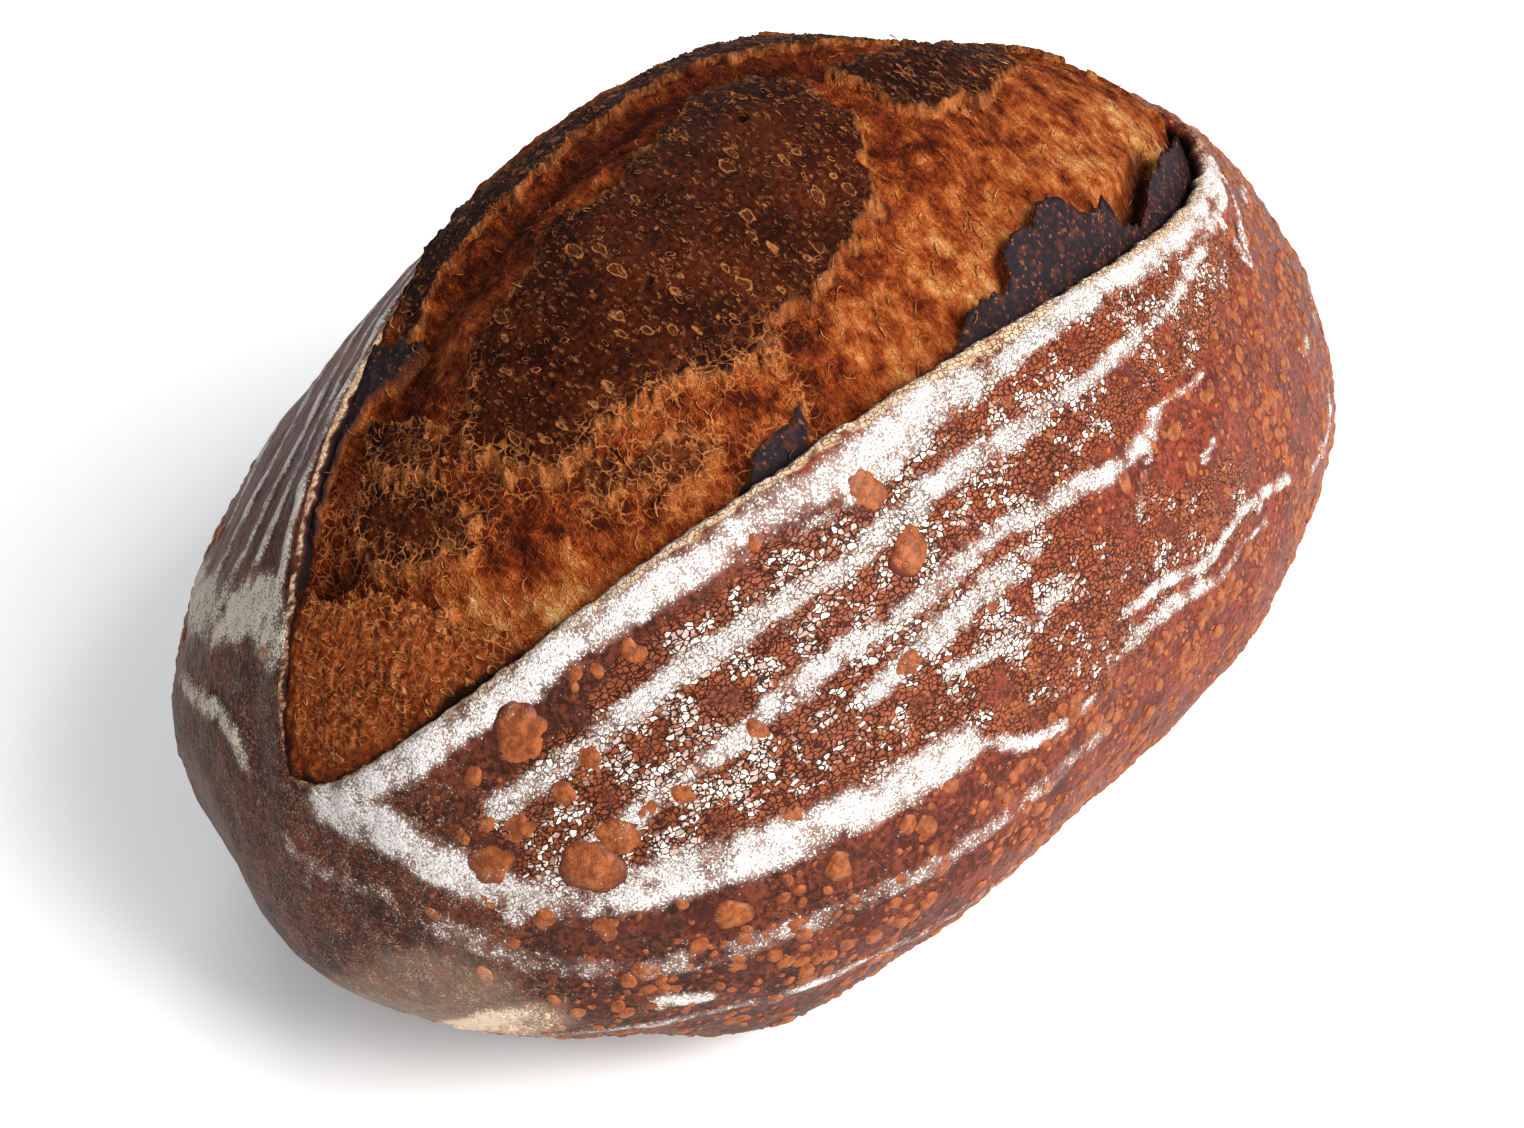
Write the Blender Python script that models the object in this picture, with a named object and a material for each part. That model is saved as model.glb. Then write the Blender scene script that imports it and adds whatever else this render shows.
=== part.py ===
"""A well sprung sourdough batard, baked as one piece.

Row frame: +X along the loaf, +Y across it towards the far flank, +Z up.
The origin is under the middle of the loaf, on the surface that it rests on.

The loaf is one closed skin. It starts as a UV sphere whose rings are moved, from the
bottom pole up: over the flat base, up the flanks, round the lifted edge of the score,
down into the groove behind that edge, and up over the bloom to its crown.
"""
import math

import bmesh
import bpy
import numpy as np

# ---- Driving dimensions, in metres ----
LENGTH = 0.232
WIDTH = 0.164
HEIGHT = 0.126

# ---- The dough's outline ----
HALF_LENGTH = 0.115
HALF_WIDTH = 0.084
CRUST_TOP = 0.121  # top of the crust if the score had not opened
WAIST_HEIGHT = 0.038  # height of the widest line round the flanks
UNDERSIDE_FALL = 1.53  # how far the underside would fall below the table, in waist heights
PLAN_POWER = 2.10  # 2 is an ellipse, more is boxier
SECTION_POWER = 1.87
TAPER = -0.09  # the +X end is narrower
EGG = -0.04  # the +X end is lower
BASE_ROUNDING = 0.004  # radius-like blend between the flat base and the flanks

# Places where the crust pulled in or pushed out: azimuth and polar angle of the middle
# and angular width, in degrees, then the height in metres.
SWELLS = (
    (-90, 110, 30, -0.0055),
    (-65, 80, 28, -0.0035),
    (-30, 60, 28, -0.0050),
    (0, 85, 30, 0.0025),
    (135, 50, 30, -0.0065),
)

# ---- The score and its opening ----
SCORE_LEFT = 0.106
SCORE_RIGHT = 0.087
SCORE_Y = -0.014
OPENING_NEAR = 0.038
OPENING_FAR = 0.050
SPINDLE_POWER = 2.2
NEAR_FULLNESS = 0.62  # lower is fuller towards the tips
FAR_FULLNESS = 0.90
RIM_SAMPLES = 241

# ---- The lifted edge ----
EAR_LIFT = 0.0040
FAR_LIFT = 0.0020
LIFT_REACH = 0.014  # how far down the flank the lift is felt
LIP_OFFSETS = ((0.0009, 0.0002), (0.0018, 0.0012), (0.0021, 0.0030), (0.0017, 0.0052))  # inwards, down

# ---- The bloom ----
BLOOM_RISE = 0.0055
BLOOM_MIDDLE = (-0.006, 0.014)
BLOOM_REACH = (0.050, 0.038)
GROOVE_REACH = 0.0075
GROOVE_STATIONS = (-0.100, 0.000, 0.050, 0.087)
GROOVE_DEPTHS = (0.0030, 0.0045, 0.0085, 0.0075)

# ---- How finely the skin is divided ----
SEGMENTS = 80
BLOOM_RINGS = 15
SKIN_RINGS = 24
LIP_RINGS = len(LIP_OFFSETS)
RINGS = BLOOM_RINGS + LIP_RINGS + SKIN_RINGS
BASE_SHARE = 0.66  # share of the polar angle that lies above the flat base
FLANK_RING_SHARE = 0.76  # share of the skin's rings spent on it

CRUST_COLOUR = (0.20, 0.055, 0.025, 1.0)
CRUST_ROUGHNESS = 0.55


def settled(height):
    """Heights with everything under the table pressed flat onto it, through a smooth blend."""
    blend = (height + BASE_ROUNDING) ** 2 / (4 * BASE_ROUNDING)
    return np.where(height < -BASE_ROUNDING, 0.0, np.where(height > BASE_ROUNDING, height, blend))


def swelling(direction):
    """How far the crust stands out at each direction, over the plain outline."""
    height = np.zeros(direction.shape[:-1])
    for azimuth, polar, width, rise in SWELLS:
        azimuth, polar = math.radians(azimuth), math.radians(polar)
        middle = (
            math.sin(polar) * math.cos(azimuth),
            math.sin(polar) * math.sin(azimuth),
            math.cos(polar),
        )
        away = np.degrees(np.arccos(np.clip(direction @ np.array(middle), -1.0, 1.0)))
        height += rise * np.exp(-((away / width) ** 2))
    return height


def crust_point(direction):
    """The point of the unopened crust in each direction from the loaf's heart."""
    x, y, z = np.moveaxis(direction, -1, 0)
    plan = (np.abs(x) ** PLAN_POWER + np.abs(y) ** PLAN_POWER) ** (SECTION_POWER / PLAN_POWER)
    reach = (plan + np.abs(z) ** SECTION_POWER) ** (-1.0 / SECTION_POWER)
    x, y, z = x * reach, y * reach, z * reach
    rise = CRUST_TOP - WAIST_HEIGHT
    point = np.stack(
        [
            HALF_LENGTH * x,
            HALF_WIDTH * y * (1.0 + TAPER * x),
            WAIST_HEIGHT + np.where(z > 0, rise * z * (1.0 + EGG * x), WAIST_HEIGHT * UNDERSIDE_FALL * z),
        ],
        axis=-1,
    )
    outward = direction / np.array([HALF_LENGTH, HALF_WIDTH, rise])
    outward /= np.linalg.norm(outward, axis=-1, keepdims=True)
    point += outward * swelling(direction)[..., None]
    point[..., 2] = settled(point[..., 2])
    return point


def direction_above(x, y):
    """The direction whose crust point lies over a place in plan."""
    across = y / (HALF_WIDTH * (1.0 + TAPER * x / HALF_LENGTH))
    along = x / HALF_LENGTH
    plan = (np.abs(along) ** PLAN_POWER + np.abs(across) ** PLAN_POWER) ** (1.0 / PLAN_POWER)
    up = (1.0 - np.minimum(plan, 1.0) ** SECTION_POWER) ** (1.0 / SECTION_POWER)
    direction = np.stack([along, across, up], axis=-1)
    return direction / np.linalg.norm(direction, axis=-1, keepdims=True)


def score_outline():
    """The opening's edge in plan, as one closed loop: along the near side, then back along the far side."""
    t = np.linspace(-1.0, 1.0, RIM_SAMPLES)
    x = np.where(t < 0, t * SCORE_LEFT, t * SCORE_RIGHT)
    open_share = np.clip(1.0 - np.abs(t) ** SPINDLE_POWER, 0.0, 1.0)
    far_power = np.where(t < 0, FAR_FULLNESS, NEAR_FULLNESS)
    near = np.stack([x, SCORE_Y - OPENING_NEAR * open_share**NEAR_FULLNESS], axis=-1)
    far = np.stack([x, SCORE_Y + OPENING_FAR * open_share**far_power], axis=-1)
    return np.concatenate([near, far[-2:0:-1]])


def rim_in_plan(azimuth):
    """Where the opening's edge lies in plan, at each azimuth round the heart."""
    outline = score_outline()
    direction = direction_above(outline[:, 0], outline[:, 1])
    angle = np.unwrap(np.arctan2(direction[:, 1], direction[:, 0]))
    angle = np.concatenate([angle - 2 * math.pi, angle, angle + 2 * math.pi])
    loops = np.concatenate([outline, outline, outline])
    order = np.argsort(angle)
    return np.stack([np.interp(azimuth, angle[order], loops[order, i]) for i in (0, 1)], axis=-1)


def edge_lift(azimuth):
    """How far the opening's edge stands up: most on the near side, where the ear is."""
    near_share = 0.5 - 0.5 * np.sin(azimuth)
    return FAR_LIFT + (EAR_LIFT - FAR_LIFT) * near_share


def skin_point(azimuth, share):
    """A point of the crust. Share runs from 0 at the opening's edge to 1 under the loaf."""
    rim = rim_in_plan(azimuth)
    rim_direction = direction_above(rim[:, 0], rim[:, 1])
    rim_polar = np.arccos(np.clip(rim_direction[:, 2], -1.0, 1.0))
    spread = np.interp(share, (0.0, FLANK_RING_SHARE, 1.0), (0.0, BASE_SHARE, 1.0))
    polar = rim_polar + (math.pi - rim_polar) * spread
    direction = np.stack(
        [np.sin(polar) * np.cos(azimuth), np.sin(polar) * np.sin(azimuth), np.cos(polar)], axis=-1
    )
    point = crust_point(direction)
    from_rim = np.linalg.norm(point - crust_point(rim_direction), axis=-1)
    point[:, 2] += edge_lift(azimuth) * np.exp(-((from_rim / LIFT_REACH) ** 2))
    return point


def lip_point(azimuth, inwards, down):
    """A point of the edge's rounded lip, measured from the top of the edge."""
    top = skin_point(azimuth, np.zeros_like(azimuth))
    step = 0.001
    along = rim_in_plan(azimuth + step) - rim_in_plan(azimuth - step)
    along /= np.linalg.norm(along, axis=-1, keepdims=True)
    top[:, 0] -= along[:, 1] * inwards
    top[:, 1] += along[:, 0] * inwards
    top[:, 2] -= down
    return top


def bloom_point(azimuth, share):
    """A point of the bloom. Share runs from 0 at its crown to 1 at the bottom of the groove."""
    inset = max(inwards for inwards, _ in LIP_OFFSETS)
    edge = lip_point(azimuth, inset, 0.0)[:, :2]
    middle = np.array([0.0, SCORE_Y])
    plan = middle + (edge - middle) * share[:, None]
    point = crust_point(direction_above(plan[:, 0], plan[:, 1]))
    away = (plan - np.array(BLOOM_MIDDLE)) / np.array(BLOOM_REACH)
    point[:, 2] += BLOOM_RISE * np.exp(-(away[:, 0] ** 4) - 0.7 * away[:, 1] ** 4)
    outline = score_outline()
    to_rim = np.linalg.norm(plan[:, None, :] - outline[None, :, :], axis=-1).min(axis=1)
    depth = np.interp(plan[:, 0], GROOVE_STATIONS, GROOVE_DEPTHS)
    point[:, 2] -= depth * np.exp(-((to_rim / GROOVE_REACH) ** 2))
    return point


def loaf_points(ring, azimuth):
    """Where every vertex of the sphere goes. Ring 0 is the crown's pole, the last ring the base's."""
    points = np.zeros((len(ring), 3))
    bloom = ring <= BLOOM_RINGS
    points[bloom] = bloom_point(azimuth[bloom], ring[bloom] / BLOOM_RINGS)
    for step, (inwards, down) in enumerate(reversed(LIP_OFFSETS)):
        lip = ring == BLOOM_RINGS + 1 + step
        points[lip] = lip_point(azimuth[lip], inwards, down)
    skin = ring > BLOOM_RINGS + LIP_RINGS
    share = (ring[skin] - BLOOM_RINGS - LIP_RINGS - 1) / (SKIN_RINGS - 1)
    points[skin] = skin_point(azimuth[skin], share)
    return points


def to_size(points):
    """Centres the loaf over the origin and brings it to its stated length, width and height."""
    low, high = points.min(axis=0), points.max(axis=0)
    middle = (low + high) / 2
    middle[2] = low[2]
    return (points - middle) * (np.array([LENGTH, WIDTH, HEIGHT]) / (high - low))


def crust_material():
    """Deep mahogany crust."""
    material = bpy.data.materials.new("crust")
    material.use_nodes = True
    shader = material.node_tree.nodes["Principled BSDF"]
    shader.inputs["Base Color"].default_value = CRUST_COLOUR
    shader.inputs["Roughness"].default_value = CRUST_ROUGHNESS
    shader.inputs["Metallic"].default_value = 0.0
    return material


def make_loaf(collection):
    """The whole loaf: a UV sphere whose rings are moved onto the base, the flanks, the lip and the bloom."""
    mesh = bpy.data.meshes.new("loaf")
    shape = bmesh.new()
    bmesh.ops.create_uvsphere(shape, u_segments=SEGMENTS, v_segments=RINGS, radius=1.0)
    sphere = np.array([vertex.co for vertex in shape.verts])
    polar = np.arccos(np.clip(sphere[:, 2], -1.0, 1.0))
    ring = np.rint(polar / math.pi * RINGS).astype(int)
    azimuth = np.arctan2(sphere[:, 1], sphere[:, 0])
    for vertex, point in zip(shape.verts, to_size(loaf_points(ring, azimuth))):
        vertex.co = point
    bmesh.ops.recalc_face_normals(shape, faces=shape.faces)
    shape.to_mesh(mesh)
    shape.free()
    mesh.shade_smooth()
    mesh.materials.append(crust_material())
    loaf = bpy.data.objects.new("loaf", mesh)
    collection.objects.link(loaf)
    return loaf


def main():
    for obj in list(bpy.data.objects):
        bpy.data.objects.remove(obj)
    collection = bpy.data.collections.new("sourdough_loaf")
    bpy.context.scene.collection.children.link(collection)
    make_loaf(collection)


main()
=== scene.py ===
# %% [markdown]
# # A sourdough loaf
# This lesson dresses a plain loaf-shaped solid as a real, dark baked sourdough loaf. The loaf has
# two kinds of surface. The crust is the stretched skin of the dough: mahogany, floured in rings by
# its proofing basket, and covered in blisters. The bloom is what tore open behind the score in the
# oven: dark plateaus of early crust, with golden, fibrous crumb pulled apart between them.
# Each surface is its own closed mesh, made fine enough to hold its relief. What repeats, such as
# blisters, bubble rims and torn fibres, is scattered with Geometry Nodes.

# %% Open the frame
import math

import bpy
import numpy as np
from mathutils import Matrix, Vector, noise
from mathutils.kdtree import KDTree


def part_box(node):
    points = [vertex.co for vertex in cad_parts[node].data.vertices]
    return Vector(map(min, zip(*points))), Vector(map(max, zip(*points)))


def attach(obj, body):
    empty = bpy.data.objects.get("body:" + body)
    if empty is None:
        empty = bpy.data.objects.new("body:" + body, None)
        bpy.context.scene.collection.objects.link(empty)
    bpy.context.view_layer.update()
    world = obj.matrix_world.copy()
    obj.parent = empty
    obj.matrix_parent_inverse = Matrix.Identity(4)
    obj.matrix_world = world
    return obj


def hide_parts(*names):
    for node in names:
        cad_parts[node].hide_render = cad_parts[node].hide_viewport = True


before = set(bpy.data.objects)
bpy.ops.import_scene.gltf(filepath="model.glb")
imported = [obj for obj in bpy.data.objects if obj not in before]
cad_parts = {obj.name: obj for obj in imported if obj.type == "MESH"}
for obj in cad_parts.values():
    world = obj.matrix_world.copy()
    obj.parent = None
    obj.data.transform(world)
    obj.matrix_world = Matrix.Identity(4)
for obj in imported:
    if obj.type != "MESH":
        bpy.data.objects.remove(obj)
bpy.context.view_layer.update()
MM = 0.001
low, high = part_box("loaf")
LENGTH, WIDTH, HEIGHT = high - low
print(f"loaf: {LENGTH / MM:.0f} x {WIDTH / MM:.0f} x {HEIGHT / MM:.0f} mm")

# %% [markdown]
# ## The dough's outline
# A shaped loaf is close to an ellipsoid with soft corners, settled flat on its base. It could be
# sculpted by hand, but a formula with a few powers and swells is easier to match to the solid, and
# any point of it can be asked for by direction. The heart is the point that directions start from.

# %% The outline's sizes, worked out from the solid's box
HEART = np.array([-1.0, -1.8, 0.0]) * MM
HALF_LENGTH = 0.4965 * LENGTH
HALF_WIDTH = 0.510 * WIDTH
CRUST_TOP = 0.9605 * HEIGHT
WAIST_HEIGHT = 0.3017 * HEIGHT
UNDERSIDE_FALL = 1.53
PLAN_POWER = 2.10
SECTION_POWER = 1.87
TAPER = -0.09
EGG = -0.04
BASE_ROUNDING = 4 * MM
# Azimuth, polar angle and angular width in degrees, then how far the crust stands out in mm.
SWELLS = (
    (-90, 110, 30, -5.5), (-65, 80, 28, -3.5), (-30, 60, 28, -5.0), (0, 85, 30, 2.5),
    (135, 50, 30, -6.5), (160, 88, 22, 1.6), (-62, 92, 16, 1.3), (-92, 92, 14, -2.2),
    (-128, 100, 18, -1.6), (172, 78, 14, 1.2), (172, 89, 10, -4.2), (-168, 92, 9, 2.4),
    (-154, 101, 9, -1.4), (-142, 110, 10, -1.9), (-129, 112, 9, 2.2), (-55, 98, 10, -1.0),
    (140, 58, 12, -0.4), (175, 90, 8, 0.8), (-168, 94, 8, -0.8), (-95, 110, 12, -1.0),
)  # fmt: skip


# %% Points of the unopened crust
def unit(vectors):
    """Vectors brought to length one."""
    return vectors / np.linalg.norm(vectors, axis=-1, keepdims=True)


def clamp(values):
    """Values kept between 0 and 1."""
    return np.clip(values, 0.0, 1.0)


def smoothstep(start, end, values):
    """0 before start, 1 after end, and a smooth climb between."""
    share = clamp((values - start) / (end - start))
    return share * share * (3.0 - 2.0 * share)


def bell(away, power=2):
    """1 where away is 0, fading to 0 as it passes 1. A higher power gives a flatter top."""
    return np.exp(-(away**power))


def settled(height):
    """Heights with everything under the table pressed flat onto it, through a smooth blend."""
    blend = (height + BASE_ROUNDING) ** 2 / (4 * BASE_ROUNDING)
    return np.where(height < -BASE_ROUNDING, 0.0, np.where(height > BASE_ROUNDING, height, blend))


def swelling(direction):
    """How far the crust stands out at each direction, over the plain outline."""
    height = np.zeros(direction.shape[:-1])
    for azimuth, polar, width, rise in SWELLS:
        azimuth, polar = math.radians(azimuth), math.radians(polar)
        middle = np.array(
            [math.sin(polar) * math.cos(azimuth), math.sin(polar) * math.sin(azimuth), math.cos(polar)]
        )
        away = np.degrees(np.arccos(np.clip(direction @ middle, -1.0, 1.0)))
        height += rise * MM * bell(away / width)
    return height


def crust_point(direction):
    """The point of the unopened crust in each direction from the loaf's heart."""
    x, y, z = np.moveaxis(direction, -1, 0)
    plan = (np.abs(x) ** PLAN_POWER + np.abs(y) ** PLAN_POWER) ** (SECTION_POWER / PLAN_POWER)
    reach = (plan + np.abs(z) ** SECTION_POWER) ** (-1.0 / SECTION_POWER)
    x, y, z = x * reach, y * reach, z * reach
    rise = CRUST_TOP - WAIST_HEIGHT
    above = rise * z * (1.0 + EGG * x)
    below = WAIST_HEIGHT * UNDERSIDE_FALL * z
    point = np.stack(
        [HALF_LENGTH * x, HALF_WIDTH * y * (1.0 + TAPER * x), WAIST_HEIGHT + np.where(z > 0, above, below)],
        axis=-1,
    )
    outward = unit(direction / np.array([HALF_LENGTH, HALF_WIDTH, rise]))
    point += outward * swelling(direction)[..., None]
    point[..., 2] = settled(point[..., 2])
    return point


def direction_above(plan):
    """The direction whose crust point lies over each place in plan."""
    along = plan[..., 0] / HALF_LENGTH
    across = plan[..., 1] / (HALF_WIDTH * (1.0 + TAPER * along))
    reach = (np.abs(along) ** PLAN_POWER + np.abs(across) ** PLAN_POWER) ** (1.0 / PLAN_POWER)
    up = (1.0 - np.minimum(reach, 1.0) ** SECTION_POWER) ** (1.0 / SECTION_POWER)
    return unit(np.stack([along, across, up], axis=-1))


# %% [markdown]
# ## The score
# The baker's one long cut opened into a pointed oval. Its near edge is the ear, the lip that lifts
# off the loaf. The edge is a spindle curve whose fullness differs on each side, with slightly blunt
# ends, so a handful of numbers draw the whole loop.

# %% The opening's edge
SCORE_LEFT = 106 * MM
SCORE_RIGHT = 87 * MM
SCORE_Y = -14 * MM
OPENING_NEAR = 38 * MM
OPENING_FAR = 50 * MM
SPINDLE_POWER = 2.2
NEAR_FULLNESS = 0.62
FAR_LEFT_FULLNESS = 1.2
TIP_SHARE = 0.10
TIP_POWER = 10
RIM_SAMPLES = 301
EAR_LIFT = 4.0 * MM
FAR_LIFT = 2.0 * MM
BURIED_EDGE = 5.0 * MM
LIFT_REACH = 14 * MM


def opening_share(t, fullness):
    """How far the score has opened at t, from 0 at its tips to 1 at its widest."""
    main = clamp(1.0 - np.abs(t) ** SPINDLE_POWER) ** fullness
    tips = np.sqrt(clamp(1.0 - np.abs(t) ** TIP_POWER))
    return (1.0 - TIP_SHARE) * main + TIP_SHARE * tips


def score_edges(t):
    """The near and far edges in plan, for t from -1 at the left tip to 1 at the right tip."""
    x = np.where(t < 0, t * SCORE_LEFT, t * SCORE_RIGHT)
    near = SCORE_Y - OPENING_NEAR * opening_share(t, NEAR_FULLNESS)
    far = SCORE_Y + OPENING_FAR * opening_share(t, np.where(t < 0, FAR_LEFT_FULLNESS, NEAR_FULLNESS))
    return np.stack([x, near], axis=-1), np.stack([x, far], axis=-1)


near_edge, far_edge = score_edges(np.linspace(-1.0, 1.0, RIM_SAMPLES))
score_outline = np.concatenate([near_edge, far_edge[-2:0:-1]])


def rim_in_plan(azimuth):
    """Where the opening's edge lies in plan, at each azimuth round the heart."""
    direction = direction_above(score_outline)
    angle = np.unwrap(np.arctan2(direction[:, 1], direction[:, 0]))
    angle = np.concatenate([angle - 2 * math.pi, angle, angle + 2 * math.pi])
    loops = np.concatenate([score_outline] * 3)
    order = np.argsort(angle)
    return np.stack([np.interp(azimuth, angle[order], loops[order, i]) for i in (0, 1)], axis=-1)


def distance_to_path(points, path):
    """The distance from each point to a path of straight stretches, in two or three dimensions."""
    nearest = np.full(len(points), np.inf)
    for start, end in zip(path[:-1], path[1:]):
        stretch = end - start
        share = clamp((points - start) @ stretch / max(stretch @ stretch, 1e-18))
        away = np.linalg.norm(points - start - share[:, None] * stretch, axis=-1)
        nearest = np.minimum(nearest, away)
    return nearest


def edge_lift(azimuth):
    """How far the opening's edge stands up: most on the near side, where the ear is."""
    near_share = 0.5 - 0.5 * np.sin(azimuth)
    far_right = smoothstep(-24, 0, np.degrees(azimuth)) * smoothstep(135, 105, np.degrees(azimuth))
    return FAR_LIFT + (EAR_LIFT - FAR_LIFT) * near_share - BURIED_EDGE * far_right


widest = (OPENING_NEAR + OPENING_FAR) / MM
print(f"score: {(SCORE_LEFT + SCORE_RIGHT) / MM:.0f} mm long, open {widest:.0f} mm at its widest")

# %% [markdown]
# ## Helpers for noise and for closed meshes
# Nothing on a loaf is even, so most steps add noise at some size. The two big surfaces are lofts:
# rings of points, joined by quads, with a pole at each end, which always gives one closed body.


# %% Noise and lofts
def grain(points, size, octaves=1, seed=0.0, stretch=(1.0, 1.0, 1.0)):
    """Smooth noise from about -1 to 1 at each point, with bumps of the given size."""
    scaled = points / (size * np.array(stretch)) + seed
    if octaves == 1:
        return np.array([noise.noise(p) for p in scaled.tolist()])
    return np.array([noise.fractal(p, 1.0, 2.0, octaves) for p in scaled.tolist()])


def with_height(plan):
    """Places in plan as points at height 0."""
    return np.concatenate([plan, np.zeros((len(plan), 1))], axis=1)


def ring_normals(rings):
    """Outward normals of a grid of points whose second direction closes on itself."""
    along = np.gradient(rings, axis=0)
    around = np.roll(rings, -1, axis=1) - np.roll(rings, 1, axis=1)
    return unit(np.cross(along, around) + 1e-12)


def loft_faces(count, around):
    """The quads between rings of points, then the triangles at the two poles."""
    here = np.arange(around)
    after = (here + 1) % around
    row = (np.arange(count - 1) * around)[:, None]
    quads = np.stack([row + here, row + after, row + around + after, row + around + here], axis=-1)
    last_row = (count - 1) * around
    top = np.stack([after, here, np.full(around, count * around)], axis=-1)
    bottom = np.stack([last_row + here, last_row + after, np.full(around, count * around + 1)], axis=-1)
    return quads.reshape(-1, 4).tolist() + top.tolist() + bottom.tolist()


def solid(name, vertices, faces):
    """A smooth mesh from points round the heart and their faces."""
    mesh = bpy.data.meshes.new(name)
    mesh.from_pydata((vertices + HEART).tolist(), [], faces)
    mesh.validate()
    mesh.shade_smooth()
    return mesh


def loft(name, rings, first_pole, last_pole):
    """A closed mesh through rings of points, with a pole at each end."""
    vertices = np.concatenate([rings.reshape(-1, 3), [first_pole], [last_pole]])
    return solid(name, vertices, loft_faces(*rings.shape[:2]))


def paint(mesh, name, values, pole_values=(0.0, 0.0)):
    """Stores one number per vertex, for the materials and the scattering to read."""
    full = np.concatenate([values.reshape(-1), pole_values]).astype(np.float32)
    mesh.attributes.new(name, "FLOAT", "POINT").data.foreach_set("value", full)


def facing_out(mesh):
    """Whether a closed mesh encloses a positive volume."""
    mesh.calc_loop_triangles()
    corners = np.zeros(len(mesh.loop_triangles) * 3, np.int32)
    mesh.loop_triangles.foreach_get("vertices", corners)
    points = np.zeros(len(mesh.vertices) * 3, np.float32)
    mesh.vertices.foreach_get("co", points)
    a, b, c = points.reshape(-1, 3)[corners.reshape(-1, 3)].transpose(1, 0, 2)
    return float(np.einsum("ij,ij->i", a, np.cross(b, c)).sum()) > 0


def new_object(name, data):
    """An object, linked into the scene."""
    made = bpy.data.objects.new(name, data)
    bpy.context.scene.collection.objects.link(made)
    return made


def add_piece(mesh, material):
    """Links a finished mesh as a piece of the loaf that stands for the plain solid."""
    if not facing_out(mesh):
        mesh.flip_normals()
    mesh.materials.clear()
    mesh.materials.append(material)
    piece = new_object(mesh.name, mesh)
    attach(piece, "root")
    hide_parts("loaf")
    mesh.calc_loop_triangles()
    print(f"{mesh.name}: {len(mesh.loop_triangles)} triangles")
    return piece


# %% [markdown]
# ## The crust's grid
# The skin runs from the opening's edge, over the flank, to the middle of the base. Its rows are
# closest together on the flank, and its columns on the near side, where the flour rings and the
# large blisters need them. It then rounds over the edge as a lip, goes down inside the opening and
# closes under the bloom, where nobody sees it.

# %% Rows and columns of the skin
COLUMNS = 620
FLANK_ROWS = 132
BASE_ROWS = 16
BASE_SHARE = 0.66
NEAR_CROWDING = 0.45
# Inwards from the edge, then down from it, in mm.
LIP_OFFSETS = ((2.2, 14.0), (1.6, 8.5), (1.5, 5.2), (1.9, 2.8), (1.8, 1.4), (1.3, 0.5), (0.6, 0.08))

even = np.linspace(-math.pi, math.pi, 4001)
crowd = np.cumsum(1.0 - NEAR_CROWDING * np.sin(even))
columns = np.interp(np.arange(COLUMNS) / COLUMNS, crowd / crowd[-1], even)
rim = rim_in_plan(columns)
rim_polar = np.arccos(np.clip(direction_above(rim)[:, 2], -1.0, 1.0))
flank_shares = np.linspace(0.0, BASE_SHARE, FLANK_ROWS, endpoint=False)
shares = np.concatenate([flank_shares, np.linspace(BASE_SHARE, 1.0, BASE_ROWS + 1)[:-1]])
polar = rim_polar + (math.pi - rim_polar) * shares[:, None]
azimuth = np.broadcast_to(columns, polar.shape)
skin_direction = np.stack(
    [np.sin(polar) * np.cos(azimuth), np.sin(polar) * np.sin(azimuth), np.cos(polar)], axis=-1
)
skin = crust_point(skin_direction)
below_rim = np.linalg.norm(skin - skin[:1], axis=-1)
skin[..., 2] += edge_lift(azimuth) * bell(below_rim / LIFT_REACH)
steps = np.linalg.norm(np.diff(skin, axis=0), axis=-1)
run_down = np.concatenate([np.zeros((1, COLUMNS)), np.cumsum(steps, axis=0)])
flank_run = run_down[FLANK_ROWS].mean() / MM
print(f"skin: {len(shares)} rows of {COLUMNS} points, {flank_run:.0f} mm down the flank")

# %% [markdown]
# ## Flour rings
# A proofing basket is a coil of cane. Flour packed into its grooves is left on the dough as rings,
# which the oven spring then stretches and breaks up. Each ring here is a short list of places on
# the skin: the azimuth round the loaf in degrees, and how many millimetres it runs below the
# opening's edge. A density is painted from the distance to the ring, and the material later turns
# it into grains, so the rings get their powdery borders from the shader and not from the mesh.

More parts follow.
